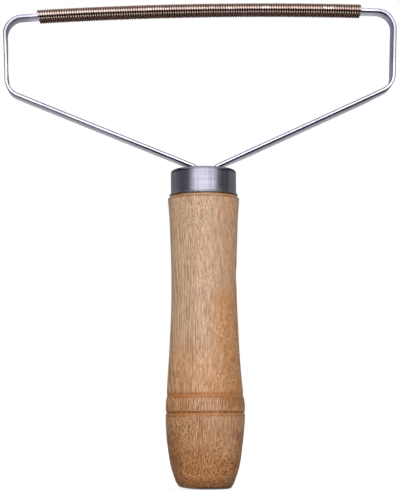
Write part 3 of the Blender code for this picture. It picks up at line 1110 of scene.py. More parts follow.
def eased(stations: Sequence[Point], steps: int) -> list[Point]:
    """A smooth turned line through (radius, height) stations, by cubic pieces between them.

    Args:
        stations: the points that the line goes through, upwards.
        steps: how many points each piece gets.

    Returns:
        The line's points.
    """
    slopes = []
    for i in range(len(stations)):
        before = stations[max(i - 1, 0)]
        after = stations[min(i + 1, len(stations) - 1)]
        slopes.append((after[0] - before[0]) / (after[1] - before[1]))
    line = []
    for i, ((r0, z0), (r1, z1)) in enumerate(zip(stations, stations[1:])):
        span = z1 - z0
        for step in range(steps):
            t = step / steps
            radius = ((2 * t**3 - 3 * t**2 + 1) * r0 + (t**3 - 2 * t**2 + t) * span * slopes[i]
                      + (3 * t**2 - 2 * t**3) * r1 + (t**3 - t**2) * span * slopes[i + 1])
            line.append((radius, z0 + t * span))
    line.append(tuple(stations[-1]))
    return line


def rounded(corner: Point, start: float, sweep: float, run: float, rise: float, steps: int) -> list[Point]:
    """Points round part of an ellipse in the (radius, height) plane.

    Args:
        corner: the ellipse's middle.
        start: the angle that it starts at, from the radius axis.
        sweep: how far it goes round.
        run: its half width along the radius.
        rise: its half height.
        steps: how many steps it takes.

    Returns:
        The points, both ends included.
    """
    angles = [start + sweep * i / steps for i in range(steps + 1)]
    return [(corner[0] + run * math.cos(angle), corner[1] + rise * math.sin(angle)) for angle in angles]


def lathe(outline: Sequence[Point], segments: int, wander: float, closed: bool,
          seed: float) -> bmesh.types.BMesh:
    """Turns an outline about the Z axis, with the slight unevenness of a hand-held tool.

    Args:
        outline: the (radius, height) points; a radius of nought closes an end.
        segments: how many sides the turned piece has.
        wander: how far the radius may stray, in metres.
        closed: whether the outline's last point joins its first.
        seed: where in the noise the unevenness is read.

    Returns:
        The turned shape.
    """
    turned = bmesh.new()
    rings = []
    for radius, height in outline:
        if radius == 0.0:
            rings.append([turned.verts.new((0.0, 0.0, height))])
            continue
        ring = []
        for i in range(segments):
            angle = math.tau * i / segments
            where = Vector((math.cos(angle) * 0.9, math.sin(angle) * 0.9 + seed, height / WANDER_HEIGHT))
            out = radius + wander * noise.noise(where)
            ring.append(turned.verts.new((out * math.cos(angle), out * math.sin(angle), height)))
        rings.append(ring)
    pairs = list(zip(rings, rings[1:]))
    if closed:
        pairs.append((rings[-1], rings[0]))
    for first, second in pairs:
        for i in range(segments):
            j = (i + 1) % segments
            if len(first) == 1:
                turned.faces.new((first[0], second[j], second[i]))
            elif len(second) == 1:
                turned.faces.new((first[i], first[j], second[0]))
            else:
                turned.faces.new((first[i], first[j], second[j], second[i]))
    return turned


def skin(body: bmesh.types.BMesh, layer: bmesh.types.BMLayerItem,
         rings: Sequence[Sequence[bmesh.types.BMVert]], travelled: Sequence[float],
         around: Sequence[float]) -> None:
    """Joins the rings of a swept piece, and writes where its corners lie along it and round it.

    Args:
        body: the mesh that holds the rings.
        layer: the coordinates that are written.
        rings: the rings of points, in the order of the sweep.
        travelled: how far along the piece each ring lies.
        around: how far round its ring each point lies, with the full way round last.
    """
    for i, (first, second) in enumerate(zip(rings, rings[1:])):
        for j in range(len(first)):
            k = (j + 1) % len(first)
            face = body.faces.new((first[j], first[k], second[k], second[j]))
            corners = ((i, j), (i, j + 1), (i + 1, j + 1), (i + 1, j))
            for loop, (row, column) in zip(face.loops, corners):
                loop[layer].uv = (travelled[row], around[column])


@dataclass
class Head:
    """The bent strip's line, which the strip, the winding and the resin plug's tang slots all follow."""

    cap_top: float
    thickness: float = 1.2 * MM
    width: float = 9.5 * MM
    tang_spacing: float = 5.5 * MM
    tang_offset: float = 0.7 * MM
    tang_length: float = 24.8 * MM
    fork_rise: float = 0.08 * MM
    fork_bend: float = 3.2 * MM
    leg_rise: float = 29.03 * MM
    side_height: float = 27.22 * MM
    lower_span: float = 139.6 * MM
    upper_span: float = 141.79 * MM
    corner_bend: float = 6.4 * MM
    crown_radius: float = 1.36
    offset: float = -0.93 * MM
    bar_cant: float = math.radians(1.0)
    lower_cant: float = math.radians(0.72)
    bend_steps: int = 20
    crown_steps: int = 60

    def fork(self, side: int) -> Vector:
        """Where a tang's and a leg's centrelines meet; side is -1 on the left and 1 on the right."""
        return Vector((self.tang_offset + side * self.tang_spacing / 2, self.cap_top + self.fork_rise))

    def lower(self, side: int) -> Vector:
        """Where a leg's and a short side's centrelines meet.

        Args:
            side: -1 on the left and 1 on the right.

        Returns:
            The place, as x and z.
        """
        out = side * self.lower_span / 2
        height = self.fork(side).y + self.leg_rise
        return Vector((self.offset + out, height + out * math.tan(self.lower_cant)))

    def upper(self, side: int) -> Vector:
        """Where a short side's and the top bar's centrelines meet.

        Args:
            side: -1 on the left and 1 on the right.

        Returns:
            The place, as x and z.
        """
        out = side * self.upper_span / 2
        height = self.fork(side).y + self.leg_rise + self.side_height
        return Vector((self.offset + out, height + out * math.tan(self.bar_cant)))

    def crown(self) -> Vector:
        """The middle of the top bar's large arc.

        Returns:
            The place, as x and z.
        """
        left, right = self.upper(-1), self.upper(1)
        across = (right - left).normalized()
        down = Vector((across.y, -across.x))
        return (left + right) / 2 + down * math.sqrt(self.crown_radius**2 - ((right - left).length / 2) ** 2)

    @staticmethod
    def arc(centre: Vector, start: Vector, end: Vector, steps: int) -> list[Vector]:
        """Points on the shorter arc from start to end about centre, both ends included.

        Args:
            centre: the arc's middle.
            start: its first point.
            end: its last point.
            steps: how many steps it takes.

        Returns:
            The points.
        """
        first, last = start - centre, end - centre
        sweep = math.atan2(first.x * last.y - first.y * last.x, first.dot(last))
        return [centre + Matrix.Rotation(sweep * i / steps, 2) @ first for i in range(steps + 1)]

    def bend(self, before: Vector, corner: Vector, after: Vector, radius: float) -> list[Vector]:
        """The rounded corner between two straight runs.

        Args:
            before: a point on the run that comes in.
            corner: where the runs meet.
            after: a point on the run that goes on.
            radius: the bend's radius.

        Returns:
            The points round the bend.
        """
        towards, away = (before - corner).normalized(), (after - corner).normalized()
        half = towards.angle(away) / 2
        reach = radius / math.tan(half)
        centre = corner + (towards + away).normalized() * radius / math.sin(half)
        return self.arc(centre, corner + towards * reach, corner + away * reach, self.bend_steps)

    def upper_bend(self, side: int) -> list[Vector]:
        """The rounded upper corner on one side, from the short side up to the crowned bar.

        Args:
            side: -1 on the left and 1 on the right.

        Returns:
            The points round the bend.
        """
        corner, crown = self.upper(side), self.crown()
        down = (self.lower(side) - corner).normalized()
        inward = Vector((down.y, -down.x)) * side
        start = corner + inward * self.corner_bend - crown
        lean = start.dot(down)
        inner = self.crown_radius - self.corner_bend
        drop = -lean - math.sqrt(lean**2 - start.length_squared + inner**2)
        centre = crown + start + down * drop
        on_bar = crown + (centre - crown).normalized() * self.crown_radius
        return self.arc(centre, corner + down * drop, on_bar, self.bend_steps)

    def route(self) -> list[Vector]:
        """The strip's centreline in the plane of X and Z, from the left tang's end to the right one's.

        Returns:
            The line's points.
        """
        halves = {}
        for side in (-1, 1):
            fork, lower, top = self.fork(side), self.lower(side), self.upper_bend(side)
            tang_end = fork - Vector((0.0, self.tang_length))
            halves[side] = [tang_end] + self.bend(tang_end, fork, lower, self.fork_bend)
            halves[side] += self.bend(fork, lower, top[0], self.corner_bend) + top
        bar = self.arc(self.crown(), halves[-1][-1], halves[1][-1], self.crown_steps)
        return halves[-1] + bar[1:-1] + halves[1][::-1]


@dataclass
class Handle:
    """The turned handle: domed butt, belly, raised collar between two cuts, waist and chamfered shoulder.

    The stations of the butt, the collar and the grip are (radius, height) points in millimetres.
    """

    length: float = 103.7 * MM
    butt: Sequence[Point] = ((9.6, 0.9), (10.6, 3.0), (12.38, 8.7), (13.59, 17.2), (14.08, 23.5),
                             (14.13, 26.5))
    butt_flat: float = 7.2 * MM
    collar: Sequence[Point] = ((14.12, 27.50), (14.13, 29.2), (14.05, 30.6), (13.90, 31.8), (13.72, 32.6))
    grip: Sequence[Point] = ((13.62, 34.1), (12.5, 50.3), (11.7, 73.5), (12.22, 94.5), (12.84, 103.6))
    cut_depth: float = 0.34 * MM
    cut_height: float = 27.0 * MM
    neck_cut_depth: float = 0.12 * MM
    neck_cut_height: float = 33.05 * MM
    chamfer: float = 0.9 * MM
    spigot_radius: float = 10.78 * MM
    spigot_top: float = 113.65 * MM
    spigot_shoulder: Point = (9.28, 113.05)
    bore_radius: float = 7.57 * MM
    bore_floor: float = 88.1 * MM
    wander: float = 0.10 * MM
    belly_shift: float = 0.21 * MM
    belly_height: float = 28.0 * MM
    belly_reach: float = 13.0 * MM
    butt_wear: float = 0.55 * MM
    wear_start: float = 0.5 * MM
    wear_run: float = 8.0 * MM
    wear_height: float = 2.6 * MM
    dent: float = 0.22 * MM
    dent_height: float = 76.0 * MM
    dent_rise: float = 2.6 * MM
    dent_width: float = 3.5 * MM
    segments: int = 176
    butt_steps: int = 14
    collar_steps: int = 7
    grip_steps: int = 26
    cut_steps: int = 10
    sharp: float = math.radians(32)
    finish: OiledWood = field(default_factory=OiledWood)

    def outline(self) -> list[Point]:
        """The handle from the middle of its butt, up its outside and spigot, and down into its bore.

        Returns:
            The (radius, height) points.
        """
        flat = self.butt_flat
        edge_run, edge_rise = self.butt[0][0] * MM - flat, self.butt[0][1] * MM
        line = [(0.0, 0.0), (flat * 0.35, 0.0), (flat * 0.7, 0.0)]
        line += rounded((flat, edge_rise), -math.pi / 2, math.pi / 2 * 0.62, edge_run, edge_rise, 5)
        for stations, steps in ((self.butt, self.butt_steps), (self.collar, self.collar_steps),
                                (self.grip, self.grip_steps)):
            scaled = [(radius * MM, height * MM) for radius, height in stations]
            if stations is self.collar:
                line += self.cut(line[-1], scaled[0], self.cut_height, self.cut_depth)
            if stations is self.grip:
                line += self.cut(line[-1], scaled[0], self.neck_cut_height, self.neck_cut_depth)
            points = eased(scaled, steps)
            line += points[1:] if stations is self.butt else points
        shoulder = (self.grip[-1][0] * MM, self.grip[-1][1] * MM)
        top = self.length + self.chamfer
        line += [(shoulder[0], self.length), (shoulder[0] - self.chamfer, top), (self.spigot_radius, top)]
        line += [(self.spigot_radius, self.spigot_shoulder[1] * MM)]
        line += [(self.spigot_shoulder[0] * MM, self.spigot_top), (self.bore_radius, self.spigot_top)]
        return line + [(self.bore_radius, self.bore_floor), (0.0, self.bore_floor)]

    def cut(self, below: Point, above: Point, middle: float, deep: float) -> list[Point]:
        """A round-bottomed cut between two points of the outline.

        Args:
            below: the point that the cut starts after.
            above: the point that it ends before.
            middle: the height of its deepest point.
            deep: how deep it is there.

        Returns:
            The cut's own points.
        """
        points = []
        floor = min(below[0], above[0]) - deep
        for i in range(1, self.cut_steps):
            t = i / self.cut_steps
            if t < 0.5:
                edge, height = below[0], below[1] + (middle - below[1]) * t * 2
            else:
                edge, height = above[0], middle + (above[1] - middle) * (t * 2 - 1)
            depth = math.sin(math.pi * t) ** 1.4
            points.append((edge + (floor - edge) * depth, height))
        return points

    def wear(self, body: bmesh.types.BMesh) -> None:
        """Sets the belly a little off the axis, wears the butt's left edge and dents the waist's right side.

        Args:
            body: the turned handle, which is changed.
        """
        for vert in body.verts:
            x, _, z = vert.co
            out = math.hypot(x, vert.co.y)
            if out < self.bore_radius * 1.1 and z > self.length / 2:
                continue
            belly = max(0.0, 1.0 - abs(z - self.belly_height) / self.belly_reach)
            vert.co.x += self.belly_shift * belly**2 * (3.0 - 2.0 * belly)
            left = min(max((-x - self.wear_start) / self.wear_run, 0.0), 1.0)
            low = max(0.0, 1.0 - z / self.wear_height)
            vert.co.z += self.butt_wear * left**1.5 * low
            if x > 0.0 and self.length * 0.6 < z < self.length * 0.9:
                above, beside = (z - self.dent_height) / self.dent_rise, vert.co.y / self.dent_width
                vert.co.x -= self.dent * math.exp(-above**2 - beside**2)

    def build(self) -> bpy.types.Object:
        """Builds and dresses the handle.

        Returns:
            The piece.
        """
        low_cut, neck_cut = self.cut_height / MM, self.neck_cut_height / MM
        cuts = [Cut(low_cut, 0.75, 1.0, 1.0), Cut(low_cut - 1.25, 0.14, 1.0, 0.25),
                Cut(neck_cut, 0.85, 1.0, 0.0), Cut(neck_cut + 0.50, 0.10, 1.0, 0.22),
                Cut(neck_cut - 0.65, 0.10, 1.0, 0.30), Cut(self.length / MM - 0.10, 0.15, 0.9, 0.50)]
        finish = self.finish.dress(cuts, self.length / MM, 0.5)
        body = lathe(self.outline(), self.segments, self.wander, closed=False, seed=3.7)
        self.wear(body)
        piece = shaped("turned_handle", body, [finish], self.sharp)
        stand_for(piece, Node.HANDLE)
        return piece


@dataclass
class Cap:
    """The drawn steel cap, with a soft shoulder, a flared lip and a hole in its top for the tangs."""

    base: float
    top: float
    hole: float
    radius: float = 11.78 * MM
    wall: float = 0.7 * MM
    shoulder_run: float = 2.2 * MM
    shoulder_drop: float = 1.3 * MM
    lip_flare: float = 0.58 * MM
    lip_height: float = 1.3 * MM
    flare_power: float = 2.2
    flare_steps: int = 8
    edge_steps: int = 8
    shoulder_steps: int = 12
    segments: int = 176
    wander: float = 0.02 * MM
    sharp: float = math.radians(50)
    finish: DrawnSteel = field(default_factory=DrawnSteel)

    def outline(self) -> list[Point]:
        """The cap's closed wall: up its outside, over the shoulder into the hole, and back down inside.

        Returns:
            The (radius, height) points.
        """
        half, quarter_turn = self.wall / 2, math.pi / 2
        flare = []
        for step in range(1, self.flare_steps + 1):
            part = step / self.flare_steps
            if self.lip_height * part > half * 1.2:
                flare.append((self.lip_flare * (1.0 - part) ** self.flare_power, self.lip_height * part))
        lip_middle = (self.radius + self.lip_flare - half, self.base + half)
        outside = rounded(lip_middle, -math.pi, math.pi, half, half, self.edge_steps)
        outside += [(self.radius + out, self.base + rise) for out, rise in flare]
        shoulder = (self.radius - self.shoulder_run, self.top - self.shoulder_drop)
        outside += rounded(shoulder, 0.0, quarter_turn, self.shoulder_run, self.shoulder_drop,
                           self.shoulder_steps)
        rim_middle = (self.hole + half, self.top - half)
        rim = rounded(rim_middle, quarter_turn, math.pi, half, half, self.edge_steps)
        inner_run, inner_rise = self.shoulder_run - self.wall, self.shoulder_drop - self.wall
        inside = rounded(shoulder, quarter_turn, -quarter_turn, inner_run, inner_rise, self.edge_steps)
        inside += [(self.radius - self.wall + out, self.base + rise) for out, rise in reversed(flare)]
        return outside + rim + inside

    def build(self) -> bpy.types.Object:
        """Builds and dresses the cap.

        Returns:
            The piece.
        """
        wall = lathe(self.outline(), self.segments, self.wander, closed=True, seed=9.1)
        finish = self.finish.dress(self.base / MM, self.top / MM)
        piece = shaped("drawn_cap", wall, [finish], self.sharp)
        stand_for(piece, Node.CAP)
        return piece


@dataclass
class Strip:
    """The one bright steel strip that makes the tangs, the legs, the short sides and the top bar."""

    head: Head
    edge_rise: float = 0.30 * MM
    edge_run: float = 0.42 * MM
    edge_crown: float = 0.030 * MM
    edge_power: float = 1.6
    side_easing: Point = (1.00, 0.52)
    leg_easing: Point = (0.68, 1.10)
    bar_easing: Point = (0.20, 0.75)
    leg_growth: float = 0.27
    leg_growth_run: Point = (-36 * MM, -22 * MM)
    leg_twist: float = 0.36 * MM
    leg_twist_run: Point = (6 * MM, 16 * MM)
    bar_twist: float = 0.34 * MM
    bar_twist_run: Point = (55 * MM, 58 * MM)
    left_twist: float = 0.12 * MM
    left_back: float = 0.26 * MM
    right_twist: float = 0.13 * MM
    side_twist_run: Point = (55 * MM, 60 * MM)
    run_step: float = 3.0 * MM
    corner_steps: int = 10
    crown_steps: int = 4
    sharp: float = math.radians(40)
    finish: StripSteel = field(default_factory=StripSteel)

    @staticmethod
    def ramp(value: float, low: float, high: float) -> float:
        """A smooth rise from nought at low to one at high."""
        part = min(max((value - low) / (high - low), 0.0), 1.0)
        return part * part * (3.0 - 2.0 * part)

    def bar_share(self, place: Vector) -> float:
        """How far a place on the run belongs to the top bar, from nought to one."""
        top = self.head.upper(0).y
        return self.ramp(place.y, top - 6 * MM, top - 2 * MM)

    def corner(self, size: float) -> list[Point]:
        """One rolled corner of the section, from its wide face to its edge.

        Args:
            size: the size of its easing, where one is the full size.

        Returns:
            The points, as (along the thickness, along the width).
        """
        rise, run = self.edge_rise * size, self.edge_run * size
        flat, half_w = self.head.thickness / 2 - rise, self.head.width / 2
        points = []
        for step in range(self.corner_steps + 1):
            angle = math.pi / 2 * step / self.corner_steps
            back = self.edge_crown + run * (1.0 - math.sin(angle) ** self.edge_power)
            points.append((flat + rise * math.cos(angle) ** self.edge_power, half_w - back))
        return points

    def section(self, outer: float, inner: float) -> list[Point]:
        """The strip's section as (along its thickness, along its width) points, with crowned, eased edges.

        Args:
            outer: the size of the outer corners' easing, where one is the full size.
            inner: the size of the inner corners' easing.

        Returns:
            The points, once round.
        """
        half_w = self.head.width / 2
        first, last = self.corner(outer), [(-t, w) for t, w in reversed(self.corner(inner))]
        middle = []
        for step in range(1, self.crown_steps):
            part = step / self.crown_steps
            across = first[-1][0] * (1.0 - part) + last[0][0] * part
            middle.append((across, half_w - self.edge_crown * (1.0 - 2.0 * part) ** 2))
        edge = first + middle + last
        return edge + [(t, -w) for t, w in reversed(edge)]

    def easing(self, place: Vector) -> tuple[float, float]:
        """How large the outer and inner corners' easing is at a place on the run.

        Args:
            place: the place, as x and z.

        Returns:
            The sizes, where one is the full size.
        """
        bar = self.bar_share(place)
        knee = self.head.lower(0).y
        leg = self.ramp(place.y, knee + 1 * MM, knee - 3 * MM)
        side = 1.0 - bar - leg
        outer, inner = (of_side * side + of_leg * leg + of_bar * bar for of_side, of_leg, of_bar
                        in zip(self.side_easing, self.leg_easing, self.bar_easing))
        return outer + self.leg_growth * leg * self.ramp(place.x, *self.leg_growth_run), inner

    def line(self) -> list[Vector]:
        """The head's line, with its straight runs divided.

        Returns:
            The line's points.
        """
        places = self.head.route()
        divided = [places[0]]
        for first, second in zip(places, places[1:]):
            count = max(1, round((second - first).length / self.run_step))
            divided += [first.lerp(second, part / count) for part in range(1, count + 1)]
        return divided

    def twist(self, place: Vector) -> tuple[float, float]:
        """How far the strip's front and back stand outwards of its line, as bent by hand.

        Args:
            place: the place, as x and z.

        Returns:
            The distances of the front and of the back, in metres.
        """
        bar, knee = self.bar_share(place), self.head.lower(1).y
        below = self.ramp(place.y, knee - 1 * MM, knee - 5 * MM)
        leg = self.ramp(place.x, *self.leg_twist_run) * below
        front = -self.bar_twist * bar * self.ramp(abs(place.x), *self.bar_twist_run)
        above = self.ramp(place.y, knee + 1 * MM, knee + 6 * MM) * (1.0 - bar)
        left = self.ramp(-place.x, *self.side_twist_run) * above
        right = self.right_twist * self.ramp(place.x, *self.side_twist_run) * above
        top = self.head.upper(0).y
        low = self.left_back * left * self.ramp(place.y, top - 10 * MM, top - 18 * MM)
        return front - self.left_twist * left, self.leg_twist * leg - right + low

    def build(self) -> bpy.types.Object:
        """Sweeps the section along the head's line and dresses it.

        Returns:
            The piece.
        """
        route, section = self.line(), self.section(1.0, 1.0)
        half_w = self.head.width / 2
        around = [0.0]
        for first, second in zip(section, section[1:] + section[:1]):
            around.append(around[-1] + math.dist(first, second) / MM)
        bar = bmesh.new()
        layer = bar.loops.layers.uv.new(Layer.RUN.value)
        rings, travelled = [], [0.0]
        for i, point in enumerate(route):
            steps = []
            if i > 0:
                steps.append((point - route[i - 1]).normalized())
                travelled.append(travelled[-1] + (point - route[i - 1]).length / MM)
            if i < len(route) - 1:
                steps.append((route[i + 1] - point).normalized())
            along = sum(steps, Vector((0.0, 0.0))).normalized()
            normal = Vector((-along.y, along.x)) / along.dot(steps[0])
            front, back = self.twist(point)
            ring = []
            for t, w in self.section(*self.easing(point)):
                deep = (w + half_w) / (2 * half_w)
                out = t + front * (1.0 - deep) + back * deep
                ring.append(bar.verts.new((point.x + normal.x * out, w, point.y + normal.y * out)))
            rings.append(ring)
        skin(bar, layer, rings, travelled, around)
        bar.faces.new(rings[0])
        bar.faces.new(rings[-1][::-1])
        finish = self.finish.dress(self.head.lower(0).y / MM, self.head.upper(0).y / MM)
        piece = shaped("bent_strip", bar, [finish], self.sharp)
        stand_for(piece, Node.STRIP)
        return piece


@dataclass
class Winding:
    """The copper wire wound close round the top bar, from cut end to cut end."""

    head: Head
    wire: float = 0.86 * MM
    pitch: float = 0.881 * MM
    length: float = 117.7 * MM
    looseness: float = 0.18 * MM
    lift: float = 0.04 * MM
    sway: float = 0.025 * MM
    worn_flat: float = 0.46
    worn_power: int = 4
    seed: int = 41
    sides: int = 16
    end_steps: int = 10
    flat_steps: int = 3
    sharp: float = math.radians(50)
    finish: DarkCopper = field(default_factory=DarkCopper)
    cut_finish: CutCopper = field(default_factory=CutCopper)

    def turn(self) -> list[tuple[float, float, float, float]]:
        """One turn of the wire round the bar: two half circles and two straight runs.

        Returns:
            The loop's points, each as (thickness place, width place, thickness normal, width normal).
        """
        half_t = self.head.thickness / 2 + self.looseness + self.wire / 2
        straight = self.head.width / 2 + self.looseness + self.wire / 2 - half_t
        loop = []
        for end in (-1, 1):
            for i in range(self.end_steps):
                angle = math.pi * i / self.end_steps - end * math.pi / 2
                across, out = math.sin(angle), math.cos(angle)
                loop.append((half_t * across, end * straight + half_t * out, across, out))
            for i in range(self.flat_steps):
                t = i / self.flat_steps
                loop.append((end * half_t, end * straight - 2 * end * straight * t, float(end), 0.0))
        top_back = 2 * self.end_steps + self.flat_steps
        return loop[top_back:] + loop[:top_back]

    def route(self) -> tuple[list[Vector], list[Vector]]:
        """The wire's centreline and its outward directions, turn by turn round the crowned bar.

        Returns:
            The places and the directions.
        """
        shape = random.Random(self.seed)
        loop = self.turn()
        count = round((self.length - self.wire) / self.pitch)
        crown = self.head.crown()
        middle = math.atan2(self.head.offset - crown.x, self.head.upper(0).y - crown.y)
        total = count * len(loop)
        places, outward = [], []
        sway = [shape.uniform(-1.0, 1.0) for _ in range(2 * count + 3)]
        for i in range(total + 1):
            t, w, normal_t, normal_w = loop[i % len(loop)]
            part = 2 * i / len(loop)
            low = int(part)
            ease = 0.5 - 0.5 * math.cos(math.pi * (part - low))
            stray = self.sway * (sway[low] * (1 - ease) + sway[low + 1] * ease)
            t += self.lift + stray * normal_t
            w += stray * normal_w
            along = self.pitch * (i / len(loop) - count / 2)
            angle = middle + along / self.head.crown_radius
            reach = self.head.crown_radius + t
            up = Vector((math.sin(angle), 0.0, math.cos(angle)))
            places.append(Vector((crown.x, w, crown.y)) + up * reach)
            outward.append((up * normal_t + Vector((0.0, normal_w, 0.0))).normalized())
        return places, outward

    def build(self) -> bpy.types.Object:
        """Sweeps the wire along its route and dresses it.

        Returns:
            The piece.
        """
        places, outward = self.route()
        wire = bmesh.new()
        layer = wire.loops.layers.uv.new(Layer.RUN.value)
        rings, travelled = [], [0.0]
        for i, place in enumerate(places):
            if i > 0:
                travelled.append(travelled[-1] + (place - places[i - 1]).length / MM)
            along = (places[min(i + 1, len(places) - 1)] - places[max(i - 1, 0)]).normalized()
            sideways = along.cross(outward[i]).normalized()
            out = sideways.cross(along)
            worn = 1.0 - (1.0 - self.worn_flat) * abs(outward[i].y) ** self.worn_power
            ring = []
            for j in range(self.sides):
                angle = math.tau * j / self.sides
                spoke = out * min(math.cos(angle), worn) + sideways * math.sin(angle)
                ring.append(wire.verts.new(place + spoke * self.wire / 2))
            rings.append(ring)
        skin(wire, layer, rings, travelled, [side / self.sides for side in range(self.sides + 1)])
        for ring in (rings[0], rings[-1][::-1]):
            wire.faces.new(ring).material_index = 1
        edge = (self.head.width / 2 + self.looseness + self.wire) / MM
        finishes = [self.finish.dress(edge), self.cut_finish.dress()]
        piece = shaped("wound_wire", wire, finishes, self.sharp)
        stand_for(piece, Node.WINDING)
        return piece


@dataclass
class ResinPlug:
    """The set resin in the bore, with a meniscus at its wall and a slot for each tang."""

    head: Head
    radius: float
    floor: float
    top: float
    play: float = 0.12 * MM
    creep: float = 0.6 * MM
    overshoot: float = 2.0 * MM
    segments: int = 96
    top_steps: int = 14
    sharp: float = math.radians(40)
    finish: SetResin = field(default_factory=SetResin)

    def outline(self) -> list[Point]:
        """The plug's outline, with its top drawn up towards the wall.

        Returns:
            The (radius, height) points.
        """
        side = self.radius - self.play
        line = [(0.0, self.floor), (side - self.play, self.floor), (side, self.floor + self.play)]
        for step in range(self.top_steps + 1):
            t = 1.0 - step / self.top_steps
            line.append((side * t, self.top - self.creep * (1.0 - t**6)))
        return line

    def build(self) -> bpy.types.Object:
        """Builds the plug, cuts the slots and dresses it.

        Returns:
            The piece.
        """
        plug = lathe(self.outline(), self.segments, 0.0, closed=False, seed=0.0)
        piece = shaped("set_resin_plug", plug, [self.finish.dress()], self.sharp)
        for side in (-1, 1):
            self.cut_slot(piece, self.tang_block(side))
        stand_for(piece, Node.PLUG)
        return piece

    def tang_block(self, side: int) -> bpy.types.Object:
        """The block that cuts one tang's slot.

        Args:
            side: -1 on the left and 1 on the right.

        Returns:
            The block.
        """
        height = self.top - self.floor + self.overshoot
        tang_end = self.head.fork(side).y - self.head.tang_length
        size = (self.head.thickness + 2 * self.play, self.head.width + 2 * self.play, height)
        middle = Vector((self.head.fork(side).x, 0.0, tang_end - self.play + height / 2))
        spread = Matrix.Translation(middle) @ Matrix.Diagonal((*size, 1.0))
        block = bmesh.new()
        bmesh.ops.create_cube(block, size=1.0, matrix=spread)
        mesh = bpy.data.meshes.new("tang_slot")
        block.to_mesh(mesh)
        block.free()
        made = bpy.data.objects.new("tang_slot", mesh)
        bpy.context.scene.collection.objects.link(made)
        return made

    @staticmethod
    def cut_slot(piece: bpy.types.Object, cutter: bpy.types.Object) -> None:
        """Cuts a block out of the plug and removes the block.

        Args:
            piece: the plug, which is changed.
            cutter: the block.
        """
        cut = piece.modifiers.new("tang_slot", "BOOLEAN")
        cut.operation = "DIFFERENCE"
        cut.solver = "EXACT"
        cut.object = cutter
        graph = bpy.context.evaluated_depsgraph_get()
        cut_mesh = bpy.data.meshes.new_from_object(piece.evaluated_get(graph))
        piece.modifiers.clear()
        piece.data = cut_mesh
        bpy.data.objects.remove(cutter, do_unlink=True)


@dataclass
class PhotoView:
    """The camera where the photograph was taken from, worked out from the object's own edges."""

    lens: float = 139.0
    sensor: float = 36.0
    distance: float = 0.680
    height: float = 18.9 * MM
    sideways: float = -1.38 * MM
    heading: float = math.radians(1.5)
    pitch: float = math.radians(5.7)
    roll: float = math.radians(0.33)
    nearest: float = 0.02
    farthest: float = 30.0

    def build(self) -> bpy.types.Object:
        """Makes the camera and hands it to the scene.

        Returns:
            The camera.
        """
        level = Vector((math.sin(self.heading), math.cos(self.heading), 0.0))
        right = Vector((math.cos(self.heading), -math.sin(self.heading), 0.0))
        place = right * self.sideways - level * self.distance + Vector((0.0, 0.0, self.height))
        ahead = level * math.cos(self.pitch) + Vector((0.0, 0.0, math.sin(self.pitch)))
        over = right.cross(ahead)
        rolled_right = right * math.cos(self.roll) - over * math.sin(self.roll)
        rolled_over = right * math.sin(self.roll) + over * math.cos(self.roll)
        data = bpy.data.cameras.new("photo_view")
        data.lens = self.lens
        data.sensor_width = self.sensor
        data.clip_start = self.nearest
        data.clip_end = self.farthest
        camera = bpy.data.objects.new("photo_view", data)
        turn = Matrix((rolled_right, rolled_over, -ahead)).transposed().to_4x4()
        camera.matrix_world = Matrix.Translation(place) @ turn
        bpy.context.scene.collection.objects.link(camera)
        bpy.context.scene.camera = camera
        return camera


@dataclass(frozen=True)
class Softbox:
    """One soft rectangular lamp."""

    name: str
    place: Triple
    target: Triple
    size: Point
    radiance: float
    in_metal: bool

    def build(self) -> bpy.types.Object:
        """Makes the lamp.

        Returns:
            The lamp.
        """
        data = bpy.data.lights.new(self.name, "AREA")
        data.shape = "RECTANGLE"
        data.size, data.size_y = self.size
        data.energy = self.radiance * math.pi * self.size[0] * self.size[1]
        lamp = bpy.data.objects.new(self.name, data)
        lamp.location = self.place
        ahead = Vector(self.target) - Vector(self.place)
        lamp.rotation_euler = ahead.to_track_quat("-Z", "Y").to_euler()
        lamp.visible_camera = False
        lamp.visible_glossy = self.in_metal
        bpy.context.scene.collection.objects.link(lamp)
        return lamp


